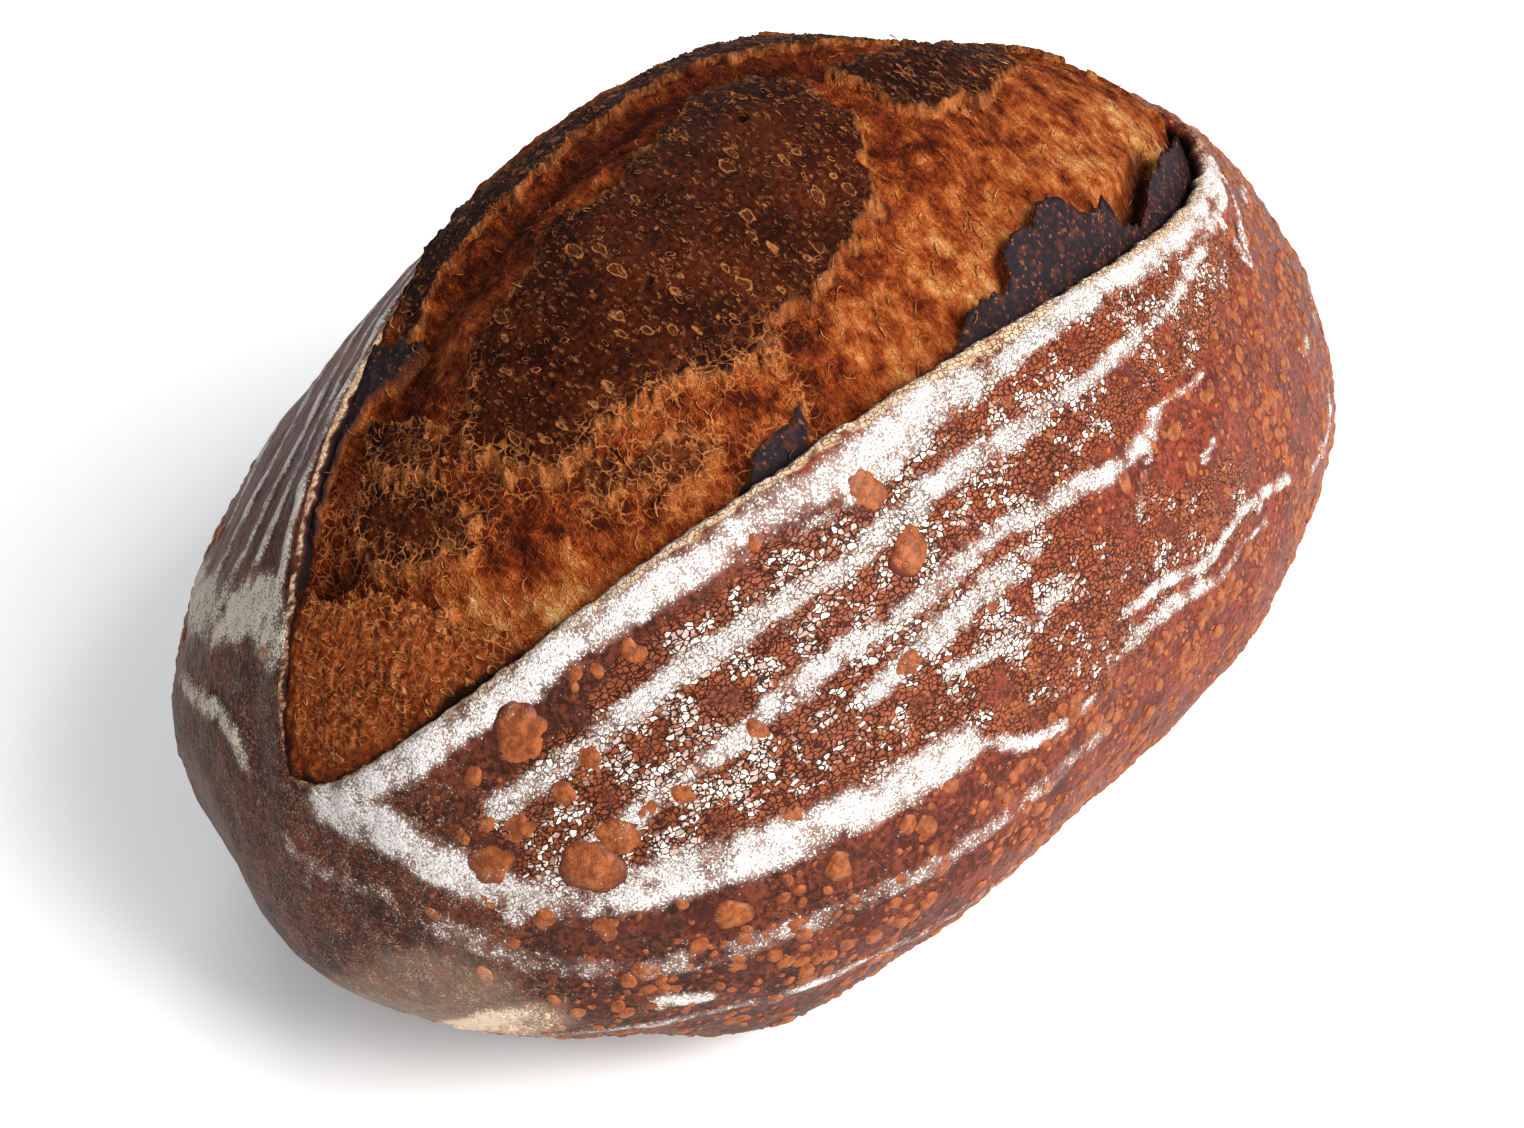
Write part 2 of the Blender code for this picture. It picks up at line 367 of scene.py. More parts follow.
# %% Where the flour lies
# Half-width in mm, strength, how broken up it is, then the places that the ring passes.
RINGS = (
    (2.7, 1.00, 0.4, ((-164, 3), (-150, 3.6), (-128, 4.4), (-117, 5.0), (-108, 4.4), (-95, 3.4))),
    (1.4, 0.80, 0.9, ((-124, 8), (-115, 9), (-106, 8), (-98, 6))),
    (1.9, 0.92, 0.6, ((-95, 3.8), (-80, 3.3), (-65, 2.9), (-45, 2.5), (-28, 2.0))),
    (2.0, 0.84, 0.7, ((-147, 20), (-138, 19), (-123, 17.5), (-110, 15.5), (-100, 13.5), (-88, 13))),
    (1.3, 0.88, 0.6, ((-88, 13), (-76, 12), (-65, 11), (-50, 7), (-40, 6), (-26, 3))),
    (1.9, 0.84, 0.7, ((-146, 38), (-142, 34.8), (-135, 32.5), (-127, 31.5), (-116, 27.5), (-106, 26.5))),
    (1.8, 0.78, 0.9, ((-106, 26.5), (-98, 24), (-90, 25), (-82, 27), (-75, 25))),
    (2.2, 0.75, 0.8, ((-114, 35), (-104, 31), (-96, 30))),
    (3.9, 0.92, 0.5, ((-164, 3), (-157, 13), (-151, 25), (-144, 36), (-135, 43), (-125, 48), (-116, 50),
                      (-107, 50))),
    (1.5, 0.75, 1.0, ((-107, 50), (-100, 56), (-93, 57), (-89, 53), (-81, 54), (-74, 56))),
    (1.2, 0.85, 0.7, ((-88, 47), (-83, 48), (-77, 51), (-70, 49), (-60, 53))),
    (0.9, 0.75, 0.8, ((-89, 51), (-82, 52.5), (-76, 55), (-66, 55))),
    (1.2, 0.85, 0.6, ((-55, 58), (-48, 58), (-43, 53))),
    (1.2, 0.65, 0.8, ((-107, 38), (-100, 39), (-93, 37))),
    (0.9, 0.85, 0.4, ((-26, 2), (-32, 8), (-39, 13), (-43, 18))),
    (0.7, 0.50, 1.2, ((-83, 36), (-80, 31), (-75, 26))),
    (0.9, 0.90, 0.2, ((-75, 23), (-66, 24.7))),
    (0.8, 0.75, 0.2, ((-72, 35.5), (-70, 34.5))),
    (1.1, 0.85, 0.3, ((-41, 8), (-43, 16))),
    (2.4, 0.45, 0.7, ((-153, 33), (-142, 51), (-131, 61), (-117, 66), (-104, 67), (-92, 66))),
    (1.6, 0.60, 0.7, ((-150, 66), (-141, 68), (-132, 76), (-121, 80), (-108, 86), (-92, 88))),
    (1.7, 0.95, 0.1, ((-135, 66), (-131, 70.5))),
    (1.4, 0.92, 0.6, ((163, 56), (170, 45), (175, 36), (-178, 24))),
    (1.6, 0.40, 0.6, ((-170, 10), (-165, 15), (-158, 22))),
    (1.6, 0.88, 0.6, ((-179, 7), (173, 5), (160, 3), (140, 2.5), (110, 3))),
    (1.7, 0.90, 0.7, ((171, 25), (168, 17), (158, 11), (140, 12), (110, 13), (70, 14))),
    (1.6, 0.88, 0.8, ((166, 36), (163, 27), (153, 20), (140, 22), (110, 24), (70, 26), (35, 24))),
    (1.8, 0.88, 0.8, ((160, 46), (155, 36), (143, 33), (110, 36), (70, 39), (30, 38))),
    (1.6, 0.75, 0.7, ((150, 48), (140, 46), (110, 50), (70, 52), (25, 52))),
    (4.8, 0.95, 0.6, ((-179, 7), (176, 14), (171, 27), (164, 42), (152, 58))),
    (1.8, 0.50, 0.9, ((-28, 14), (-12, 22), (5, 24), (22, 20))),
    (1.8, 0.45, 0.9, ((-45, 40), (-20, 44), (5, 46), (25, 44))),
)  # fmt: skip


def on_skin(degrees, millimetres):
    """Points of the skin at an azimuth, and a run down from the opening's edge."""
    column = np.interp(np.radians(degrees), columns, np.arange(COLUMNS))
    column = np.clip(np.rint(column).astype(int), 0, COLUMNS - 1)
    points = []
    for c, run in zip(column, np.asarray(millimetres) * MM):
        points.append([np.interp(run, run_down[:, c], skin[:, c, i]) for i in range(3)])
    return np.array(points)


def smooth_path(places, samples=60):
    """A smooth path over the skin, through places given in degrees and millimetres."""
    places = np.array(places, float)
    places[:, 0] = np.degrees(np.unwrap(np.radians(places[:, 0])))
    fine = np.linspace(0, len(places) - 1, samples)
    slopes = np.gradient(places, axis=0)
    index = np.clip(fine.astype(int), 0, len(places) - 2)
    t = (fine - index)[:, None]
    start, end = places[index], places[index + 1]
    leave, arrive = slopes[index], slopes[index + 1]
    path = (2 * t**3 - 3 * t**2 + 1) * start + (t**3 - 2 * t**2 + t) * leave
    path += (3 * t**2 - 2 * t**3) * end + (t**3 - t**2) * arrive
    turned = (path[:, 0] + 180.0) % 360.0 - 180.0
    return on_skin(turned, path[:, 1])


flat_skin = skin.reshape(-1, 3)


def skin_grain(size, *options):
    """Noise over the skin, with bumps of a size in mm."""
    return grain(flat_skin, size * MM, *options)


wander = np.stack([skin_grain(16, 2, seed) for seed in (3.1, 7.7, 9.4)], axis=-1)
fine_wander = np.stack([skin_grain(3.5, 2, seed) for seed in (5.3, 6.1)], axis=-1)
wandered = flat_skin + wander * 1.2 * MM
wandered += with_height(fine_wander) * 0.6 * MM
ring_break = skin_grain(7, 3, 21.3)
flour = np.zeros(len(flat_skin))
for half_width, strength, broken, places in RINGS:
    away = distance_to_path(wandered, smooth_path(places)) / MM
    density = strength * bell(away / half_width, 4)
    flour = np.maximum(flour, density * np.clip(1.0 + 1.1 * broken * (ring_break - 0.15), 0.0, 1.15))
flour *= np.clip(0.94 + 0.45 * skin_grain(2.2, 2, 26.0), 0.0, 1.08)
flat_flour = flour
flour = flour.reshape(azimuth.shape)
print(f"flour covers {100 * (flour > 0.5).mean():.0f}% of the skin")

# %% [markdown]
# ## Large blisters
# Cold, wet dough blisters in the oven: gas collects under the skin and lifts it in domes with a
# crisp edge. The largest are placed one by one, and modelled as domes of their own once the skin
# has its relief. Some have two lobes, which are just two domes side by side. The small ones are
# scattered later.

# %% Placed blisters
# Azimuth in degrees, run below the edge in mm, radius in mm.
BLISTERS = (
    (-145, 11, 4.6), (-147.5, 27, 3.6), (-145, 25, 3.0), (-139, 37, 4.6), (-136.5, 34.5, 3.6),
    (-139, 21, 2.6), (-141, 24, 2.5), (-134, 33, 2.5), (-131, 34, 2.4), (-148, 21, 2.0),
    (-148, 33, 2.0), (-138, 48, 2.9), (-143, 41, 2.3), (-128, 56, 3.3), (-134, 51, 1.6),
    (-131, 54, 1.7), (-123, 63, 2.1), (-119, 57, 2.7), (-119, 73, 2.1), (-117, 70, 1.9),
    (-111, 59, 2.6), (-138, 57, 1.8), (-140, 61, 1.7), (-142, 63, 1.8), (-128, 66, 2.5),
    (-126, 67, 1.8), (-129, 78, 1.5), (-122, 46, 2.5), (-107, 19.5, 3.8), (-82, 29, 2.2),
    (-71, 27, 1.9), (-68, 32, 1.6), (-110, 9, 3.4), (-110, 34, 2.6), (-135, 11, 2.5),
    (-124, 31, 2.3), (-101, 33, 1.9), (-91, 9, 2.0), (-88, 17, 2.0), (-66, 27, 2.0),
    (-153, 44, 1.7), (-156, 36, 1.6), (-114, 66, 2.0), (-105, 66, 1.7), (-98, 70, 1.8),
    (60, 30, 3.2), (95, 34, 3.8), (128, 46, 3.0), (20, 30, 2.6), (82, 58, 2.6), (112, 20, 2.6),
)  # fmt: skip
blister_middles = on_skin([b[0] for b in BLISTERS], [b[1] for b in BLISTERS])
blister = np.zeros(len(flat_skin))
for middle, (_, _, radius) in zip(blister_middles, BLISTERS):
    away = np.linalg.norm(flat_skin - middle, axis=-1) / (radius * MM)
    blister = np.maximum(blister, 1.0 - smoothstep(0.8, 1.25, away))
print(f"{len(BLISTERS)} large blisters, the widest {2 * max(b[2] for b in BLISTERS):.1f} mm across")

# %% [markdown]
# ## The crust's relief
# Real crust is never a clean formula. Broad swells, dents and a fine leathery unevenness are added
# along the normals, and the flour rings stand a little proud, as the cane's grooves left them. The
# relief fades out on the base, so the loaf still sits flat.

# %% Raising the skin
flat_run = run_down.reshape(-1)
# In mm: how strong, times noise with bumps of a size.
swells = 1.0 * skin_grain(42, 2, 5.5) + 0.45 * skin_grain(13, 2, 8.8)
leather = 0.16 * skin_grain(3.6, 3, 2.2)
ragged_edge = 0.5 * skin_grain(7, 2, 17.0) + 0.35 * skin_grain(2.0, 2, 19.0)
ragged_edge *= np.exp(-flat_run / (2.0 * MM))
relief = (swells + leather + ragged_edge + 0.35 * flat_flour * (1 - blister)) * MM
off_base = smoothstep(0.5 * MM, 7 * MM, flat_skin[:, 2])
crust = skin + ring_normals(skin) * (relief * off_base).reshape(azimuth.shape)[..., None]
crust[..., 2] = np.maximum(crust[..., 2], 0.0)

# %% [markdown]
# ## The lip
# The ear is a thick, rounded edge with a wall inside it. Rows of points are stepped inwards and
# down from the displaced edge, and two more rows close the floor under the bloom.

# %% Rounding the lip and closing the floor
edge_step = 0.002
tangent = unit(rim_in_plan(columns + edge_step) - rim_in_plan(columns - edge_step))
inwards = np.stack([-tangent[:, 1], tangent[:, 0], np.zeros(COLUMNS)], axis=-1)
unevenness = 0.6 * grain(crust[0], 4 * MM, 3, 27.0) + 0.35 * grain(crust[0], 1.5 * MM, 2, 37.0)
lip = []
for step_in, step_down in LIP_OFFSETS:
    step_across = inwards * ((step_in + unevenness) * MM)[:, None]
    lip.append(crust[0] + step_across - np.array([0.0, 0.0, step_down * MM]))
FLOOR_DROP = 15 * MM
floor_middle = np.array([0.0, SCORE_Y, CRUST_TOP - FLOOR_DROP])
closing = []
for share in (0.45, 0.85):
    plan = floor_middle[:2] + (lip[0][:, :2] - floor_middle[:2]) * share
    floor_point = crust_point(direction_above(plan))
    floor_point[:, 2] -= FLOOR_DROP
    closing.append(floor_point)
crust_rows = np.concatenate([closing, lip, crust])
crust_mesh = loft("loaf_crust", crust_rows, floor_middle, np.array([0.0, 0.0, 0.0]))

# %% [markdown]
# ## What the crust's material needs to know
# Most numbers painted on the skin are plain facts about the place: how much flour lies there, how
# far its flour has crackled, how close it is to the cut edge, how dusty, how tan and how red. The
# number named shaded marks where the flour is painted in shade.

# %% Painting the crust
degrees = np.degrees(azimuth).reshape(-1)
x_mm, y_mm, z_mm = flat_skin.T / MM
run_mm = flat_run / MM
patchy = skin_grain(11, 3, 31.0)


def patch(azimuth_middle, azimuth_half, run_middle, run_half):
    """1 in the middle of a stretch of skin, falling to 0 about its edge."""
    turn = (degrees - azimuth_middle + 180.0) % 360.0 - 180.0
    away = (turn / azimuth_half) ** 2 + ((run_mm - run_middle) / run_half) ** 2
    return 1.0 - smoothstep(0.55, 1.25, away + 0.35 * patchy)


crackle = 0.95 * patch(-118, 32, 27, 19)
crackle = np.maximum(crackle, patch(-101, 12, 31, 12))
crackle = np.maximum(crackle, 0.85 * patch(-78, 36, 12, 11))
crackle = np.maximum(crackle, 0.75 * patch(-92, 28, 44, 13))
crackle *= clamp(0.80 + 0.9 * skin_grain(5, 2, 61.0))
crackle = np.maximum(crackle, 0.4 * patch(80, 60, 30, 24))
tan = 0.62 * patch(-152, 10, 61, 8) + 0.36 * patch(-159, 13, 50, 17)
tan += 0.6 * smoothstep(7, 2, z_mm + 2 * patchy)
dust = smoothstep(-62, -104, x_mm + 5 * patchy)
dust = np.maximum(dust, 0.5 * smoothstep(20, 60, y_mm))
redness = clamp(smoothstep(-105, 25, x_mm) - 0.3 * smoothstep(50, 95, x_mm) + 0.25 * patchy)
near_side = bell((degrees + 92) / 74, 6)
flap_side = 0.65 * bell(((degrees % 360) - 155) / 32, 4)
edge_width = 1.1 + 1.6 * smoothstep(-40, 20, x_mm) - 0.6 * smoothstep(0.1, 0.6, flap_side)
cut_edge = bell(run_mm / edge_width) * (near_side + flap_side)
cut_edge *= 0.85 + 0.5 * skin_grain(4, 3, 33.0)
# Painted shade: flour drawn darker and browner on the dusty parts, from the middle to the far side.
shaded = dust * smoothstep(-28, 4, y_mm)
right_side = smoothstep(0, 50, x_mm)
below_rings = smoothstep(50, 60, run_mm) * smoothstep(-116, -92, x_mm)
between_rings = 0.24 * (1 - smoothstep(0.1, 0.5, flat_flour)) * smoothstep(-108, -92, x_mm)
between_rings *= smoothstep(10, -10, y_mm)
blister_room = np.maximum(np.maximum(right_side, 0.95 * below_rings), between_rings)
blister_room *= smoothstep(5, 10, z_mm) * smoothstep(2, 6, run_mm) * (1 - blister) * (1 - 0.6 * crackle)
blister_room *= clamp(0.9 + 0.9 * skin_grain(15, 2, 44.0))
blister_room *= 1 - 0.8 * clamp(flat_flour)

lip_share = np.linspace(0.0, 1.0, len(lip))[:, None]
near_lip, flap_lip = near_side.reshape(azimuth.shape)[0], flap_side.reshape(azimuth.shape)[0]
redness_at_edge = redness.reshape(azimuth.shape)[0]
rounded = smoothstep(0.72, 0.98, lip_share)
crest = smoothstep(0.92, 1.0, lip_share)
wall_char = 1.0 - np.where(flap_lip > 0.2, crest, smoothstep(0.60, 0.90, lip_share))


def over_lip(values, on_lip):
    """A skin value carried over the lip's rows, with 0 for the hidden floor."""
    top = np.broadcast_to(on_lip, (len(lip), COLUMNS))
    return np.concatenate([np.zeros((len(closing), COLUMNS)), top, values.reshape(azimuth.shape)])


flour_at_edge = np.maximum(flour[0], 0.45 + 0.5 * grain(skin[0], 5 * MM, 3, 39.0))
flour_at_edge *= 1.0 - 0.75 * smoothstep(-60, -15, skin[0, :, 0] / MM)
flour_on_lip = flour_at_edge * lip_share**3 * near_lip
edge_on_lip = rounded * near_lip + crest * flap_lip
for name, values, on_lip in (
    ("flour", flour, flour_on_lip), ("crackle", crackle, 0.5 * rounded * near_lip),
    ("cut_edge", cut_edge, edge_on_lip), ("char", np.zeros(len(flat_skin)), wall_char),
    ("shaded", shaded, 0.0), ("dust", dust, 0.0), ("tan", tan, 0.0),
    ("blister", blister, 0.0), ("blister_room", blister_room, 0.0),
):  # fmt: skip
    paint(crust_mesh, name, over_lip(values, on_lip))
paint(crust_mesh, "redness", over_lip(redness, redness_at_edge), (0.0, redness[-1]))

# %% [markdown]
# ## Domes of the large blisters
# A dome is a small loft of its own: rings that shrink towards the top, with an outline pushed in
# and out by a few slow waves so that none is a true circle. Its foot is seated under the skin. It
# takes its flour and colour from the skin below it.

# %% Modelling the large blisters
SPOKES = 40
DOME_SHARES = (1.04, 1.0, 0.97, 0.91, 0.82, 0.70, 0.54, 0.36, 0.18)
DOME_STEEPNESS = 0.29
SEAT = 0.5
skin_tree = KDTree(len(flat_skin))
for index, place in enumerate(crust.reshape(-1, 3)):
    skin_tree.insert(place, index)
skin_tree.balance()
crust_normals = ring_normals(crust).reshape(-1, 3)
dice = np.random.default_rng(5)
spoke = np.linspace(0.0, 2 * math.pi, SPOKES, endpoint=False)
dome_points, dome_faces, dome_tops = [], [], []
for middle, (_, _, radius) in zip(blister_middles, BLISTERS):
    index = skin_tree.find(middle)[1]
    seat, out = crust.reshape(-1, 3)[index], crust_normals[index]
    side = unit(np.cross(out, [0.0, 0.0, 1.0]))
    downhill = np.cross(out, side)
    phases = dice.uniform(0, 2 * math.pi, 3)
    outline = radius * (1 + 0.11 * np.sin(2 * spoke + phases[0]) + 0.06 * np.sin(3 * spoke + phases[1]))
    outline += 0.035 * radius * np.sin(5 * spoke + phases[2])
    spokes_out = np.cos(spoke)[:, None] * side + np.sin(spoke)[:, None] * downhill
    rise = DOME_STEEPNESS * radius * dice.uniform(0.8, 1.15)
    rings = []
    for share in DOME_SHARES:
        height = rise * (1.0 - min(share, 1.0) ** 2.4) ** 0.75 - SEAT - 4.0 * max(share - 1.0, 0.0) * radius
        rings.append(seat + spokes_out * (outline * min(share, 1.0))[:, None] * MM + out * height * MM)
    rings = np.array(rings)
    bumps = grain(rings.reshape(-1, 3), 1.3 * MM, 3, 70.0).reshape(len(rings), -1, 1)
    rings += out * (0.08 * radius * MM) * bumps
    first = sum(len(p) for p in dome_points)
    top_pole = seat + out * (rise - SEAT) * MM
    foot_pole = rings[0].mean(axis=0)
    dome_points.append(np.concatenate([rings.reshape(-1, 3), [foot_pole], [top_pole]]))
    dome_faces += [[v + first for v in face] for face in loft_faces(len(rings), SPOKES)]
    dome_tops.append(np.concatenate([np.repeat(1.0 - np.minimum(DOME_SHARES, 1.0), SPOKES), [0.0, 1.0]]))
dome_points = np.concatenate(dome_points)
dome_mesh = solid("large_blisters", dome_points, dome_faces)
under_dome = np.array([skin_tree.find(point)[1] for point in dome_points])
none = np.array([])
paint(dome_mesh, "dome", np.concatenate(dome_tops), none)
dome_facts = (
    ("flour", 0.30 * flour), ("crackle", 0.15 * crackle), ("dust", dust),
    ("shaded", shaded), ("tan", tan), ("redness", redness),
)  # fmt: skip
for name, values in dome_facts:
    paint(dome_mesh, name, values.reshape(-1)[under_dome], none)

# %% [markdown]
# ## The bloom
# Behind the ear the dough pushed up and tore. Early crust sits on it as dark plateaus with ragged
# edges, a step above the torn crumb. The bloom is lofted from its left tip to its right tip, each
# section running over the top and back along a hidden underside.

# %% The bloom's grid
SECTIONS = 520
ACROSS = 176
EDGE_INSET = 2.3 * MM
BLOOM_RISE = 4.6 * MM
BLOOM_MIDDLE = np.array([-6, 14]) * MM
BLOOM_REACH = np.array([50, 38]) * MM
DIP = 4.0 * MM
DIP_MIDDLE = np.array([50, 22]) * MM
DIP_REACH = np.array([20, 14]) * MM
GROOVE_REACH = 6.5
UNDERSIDE_DROP = 9 * MM


def bloom_top(plan):
    """The bloom's smooth surface over each place in plan."""
    point = crust_point(direction_above(plan))
    away = (plan - BLOOM_MIDDLE) / BLOOM_REACH
    point[..., 2] += BLOOM_RISE * np.exp(-(away[..., 0] ** 4) - 0.7 * away[..., 1] ** 4)
    point[..., 2] -= DIP * np.exp(-(((plan - DIP_MIDDLE) / DIP_REACH) ** 2).sum(axis=-1))
    return point


t = np.sin(np.linspace(-0.5, 0.5, SECTIONS + 2)[1:-1] * math.pi * 0.985) / math.sin(0.4925 * math.pi)
t = 0.55 * t + 0.45 * np.linspace(-1, 1, SECTIONS + 2)[1:-1]
near_side, far_side = score_edges(t)
opening = far_side[:, 1] - near_side[:, 1]
overhang = np.interp(near_side[:, 0] / MM, (-106, -55, -25, 87), (0.2, -0.4, -1.5, -1.0)) * MM
near_y = near_side[:, 1] + np.minimum(EDGE_INSET, 0.3 * opening)
far_y = far_side[:, 1] - np.minimum(overhang, 0.3 * opening)
across = np.linspace(0.0, 1.0, ACROSS)
bloom_plan = np.stack(
    [
        np.broadcast_to(near_side[:, :1], (SECTIONS, ACROSS)),
        near_y[:, None] + (far_y - near_y)[:, None] * across,
    ],
    axis=-1,
)
plan = bloom_plan.reshape(-1, 2)
plan_mm = plan / MM
plan_x, plan_y = plan_mm.T
bloom = bloom_top(bloom_plan)
near_distance = distance_to_path(plan, near_edge[::4]) / MM
far_distance = distance_to_path(plan, far_edge[::4]) / MM
edge_distance = np.minimum(near_distance, far_distance)
print(f"bloom: {SECTIONS} sections of {ACROSS} points")

# %% [markdown]
# ## Plateaus and torn bands
# Each plateau is an outline with only the corners it needs, in millimetres over the loaf. Noise at
# three sizes makes its border ragged. How dark a plateau has roasted goes with it.

# %% Plateau outlines
# Roast from 0, pale, to 1, black, then height over the torn crumb in mm, then the corners.
PLATEAUS = (
    (0.90, 1.9, ((-66, -16), (-60, -8), (-54, -4), (-45, -3), (-38, 0), (-26, -4), (-18, -1), (-4, 3),
                 (4, 1), (9, -6), (9, -19), (3, -28), (-4, -32), (-12, -35), (-24, -35), (-27, -38),
                 (-38, -33), (-46, -31), (-52, -30), (-59, -29))),
    (1.00, 1.7, ((16, -5), (33, -1), (55, 4), (63, 9), (52, -8), (37, -17), (23, -19), (18, -14))),
    (0.80, 1.2, ((-70, 5), (-66, -3), (-67, -12), (-71, -14), (-76, 0))),
    (0.84, 1.1, ((-76, 0), (-69, -17), (-70, -24), (-74, -26), (-83, -12), (-81, -3))),
    (0.74, 1.0, ((-56, -31), (-40, -39), (-40, -42), (-47, -41), (-58, -34))),
    (0.26, 1.4, ((-110, 4), (-92, -2), (-85, -16), (-80, -27), (-76, -38), (-110, -40))),
    (0.97, 0.6, ((-60, 12), (-47, 17), (-40, 17), (-22, 17), (-5, 18), (8, 16), (24, 7), (34, 5),
                 (60, 16), (40, 22), (8, 27), (-20, 27), (-44, 32))),
    (0.80, 1.2, ((30, 30), (44, 20), (62, 16), (70, 8), (78, -2), (70, 14), (50, 28))),
)  # fmt: skip
CHAR_STRIPS = (
    ((-18, -51), (-4, -48.5), (4, -46), (10, -45), (13, -44.5), (14, -42), (18, -41), (22, -41),
     (26, -38), (30, -38), (33, -41), (37, -40.5), (41, -37.5), (42, -42), (48, -40.5), (57, -35),
     (66, -30), (75, -24), (83, -18), (90, -14), (70, -50), (20, -62), (-18, -60)),
    ((-52, -47.5), (-46, -46.4), (-39, -45.2), (-33, -44), (-30, -44.2), (-26.5, -42.8), (-28, -46),
     (-32, -48.5), (-40, -50), (-52, -49.5)),
    ((-62, 22), (-58, 8), (-63, 8), (-68, 11), (-75, 9), (-80, 6), (-86, 1), (-86, 8), (-74, 17)),
)  # fmt: skip


def inside_outline(places, corners):
    """How far each place lies inside a closed outline: above 0 inside it, below 0 outside."""
    corners = np.array(corners, float)
    ends = np.roll(corners, -1, axis=0)
    crossings = np.zeros(len(places), int)
    for (x0, y0), (x1, y1) in zip(corners, ends):
        spans = (y0 > places[:, 1]) != (y1 > places[:, 1])
        meets = x0 + (places[:, 1] - y0) / (y1 - y0 + 1e-12) * (x1 - x0)
        crossings += spans & (places[:, 0] < meets)
    away = distance_to_path(places, np.concatenate([corners, corners[:1]]))
    return np.where(crossings % 2 == 1, away, -away)


flat_plan = with_height(plan)


def bloom_grain(size, *options):
    """Noise over the bloom, with bumps of a size in mm."""
    return grain(flat_plan, size * MM, *options)


def spot(x, y, reach):
    """A soft spot over the bloom: 1 in its middle, fading to 0 past its reach, all in mm."""
    return np.exp(-(((plan_mm - [x, y]) ** 2).sum(axis=-1) / reach**2))


ragged = 2.0 * bloom_grain(5.5, 2, 4.4) + 1.4 * bloom_grain(2.0, 2, 6.1)
ragged += 0.6 * bloom_grain(0.9, 1, 9.9)
plateau, roast, step_up = (np.zeros(len(plan)) for _ in range(3))
border = np.full(len(plan), 9.0)
for darkness, step, corners in PLATEAUS:
    depth = inside_outline(plan_mm, corners) + ragged
    skin_here = smoothstep(-0.15, 0.20, depth)
    roast = np.where(skin_here > plateau, darkness, roast)
    step_up = np.maximum(step_up, step * skin_here)
    plateau = np.maximum(plateau, skin_here)
    border = np.minimum(border, np.abs(depth))
char = np.zeros(len(plan))
for corners in CHAR_STRIPS:
    depth = inside_outline(plan_mm, corners) + 0.38 * ragged
    char = np.maximum(char, smoothstep(-0.2, 0.3, depth))
    border = np.minimum(border, np.abs(depth))
roast = roast + 0.28 * smoothstep(-9, 3, plan_y) + 0.10 * bloom_grain(9, 3, 35.0)
roast = clamp(roast)
roast = clamp(roast + 0.22 * bell(border / 1.3))
print(f"plateaus cover {100 * plateau.mean():.0f}% of the bloom, char {100 * char.mean():.0f}%")

# %% [markdown]
# ## Relief of the bloom
# Torn crumb is drawn out into fibres across the loaf, so its noise is stretched that way. The
# plateaus stand a step above it with a slightly curled border, valleys run beside them, and a
# groove goes all round where the bloom dips behind the edge.

# %% Shaping the bloom
torn = (1.0 - plateau) * (1.0 - char)
valleys = np.zeros(len(plan))
VALLEYS = (
    (2.6, 5.5, ((-66, 4), (-57, 7), (-42, 10), (-24, 11), (-4, 12), (10, 8), (20, 0))),
    (1.3, 3.6, ((-86, -14), (-78, -29), (-66, -36), (-52, -41), (-40, -45))),
    (1.8, 6.5, ((-8, -42), (8, -38), (22, -30), (40, -25), (60, -24))),
    (4.2, 2.6, ((42, -39), (50, -37), (58, -31.5), (66, -25.5))),
    (3.2, 1.6, ((-91, -3), (-88, -5), (-85, -8))),
)
for depth, reach, places in VALLEYS:
    away = distance_to_path(plan_mm, np.array(places, float))
    valleys = np.maximum(valleys, depth * bell(away / reach))
BULGES = ((2.0, 9, -14, -41), (1.6, 10, 22, -26), (1.2, 12, 52, -16), (1.2, 8, 4, -34), (0.9, 9, -48, -38))
bulges = np.zeros(len(plan))
for height, reach, x, y in BULGES:
    bulges += height * spot(x, y, reach)
FIBRE_STRETCH = (1.0, 5.5, 1.0)
fibres = bloom_grain(0.85, 2, 3.3, FIBRE_STRETCH)
cords = bloom_grain(2.4, 2, 13.3, (1.0, 2.6, 1.0))
lumps = bloom_grain(8.5, 2, 12.0)
knobbly = np.abs(bloom_grain(2.3, 2, 19.0))
torn_relief = 0.20 * fibres + 0.50 * cords + 0.9 * lumps
skin_relief = 0.5 * lumps + 0.35 * knobbly + 0.10 * bloom_grain(1.0, 1, 23.0)
tip_share = smoothstep(-74, -90, plan_x)
skin_relief += 0.9 * tip_share * knobbly
curl = 0.45 * bell(border / 0.7) * (plateau + char > 0.5)
HOLES = ((-4, -7, 1.1, 2.2), (-20, -12, 0.6, 0.8), (-33, -20, 0.7, 0.9), (-52, -20, 0.6, 0.7))
holes = np.zeros(len(plan))
for x, y, radius, depth in HOLES:
    away = np.linalg.norm(plan_mm - [x, y], axis=-1) / radius
    holes += depth * (1.0 - smoothstep(0.6, 1.15, away)) - 0.25 * bell((away - 1.25) / 0.25)
GROOVE_STATIONS = (-106, -60, -25, 0, 50, 87)
NEAR_GROOVE = (0.6, 1.6, 2.2, 3.2, 8.0, 4.0)
FAR_GROOVE = (-0.4, -0.6, 0.2, 0.0, 0.0, -0.5)
near_part = smoothstep(0.1, 0.7, far_distance / (near_distance + far_distance + 0.01))
groove = np.interp(plan_x, GROOVE_STATIONS, NEAR_GROOVE)
groove *= bell(near_distance / GROOVE_REACH) * near_part
far_groove = np.interp(plan_x, GROOVE_STATIONS, FAR_GROOVE)
groove += far_groove * bell(far_distance / GROOVE_REACH)
char_lift = 2.4 * char * smoothstep(-20, 25, plan_x)
height = torn * (torn_relief + bulges) + (1 - torn) * (skin_relief + 0.5 * bulges) + step_up + curl
height += char_lift + 1.0 * char - valleys * (1.0 - 0.85 * np.maximum(char, plateau)) - holes - groove
height *= smoothstep(0.0, 1.0, edge_distance + 0.35)
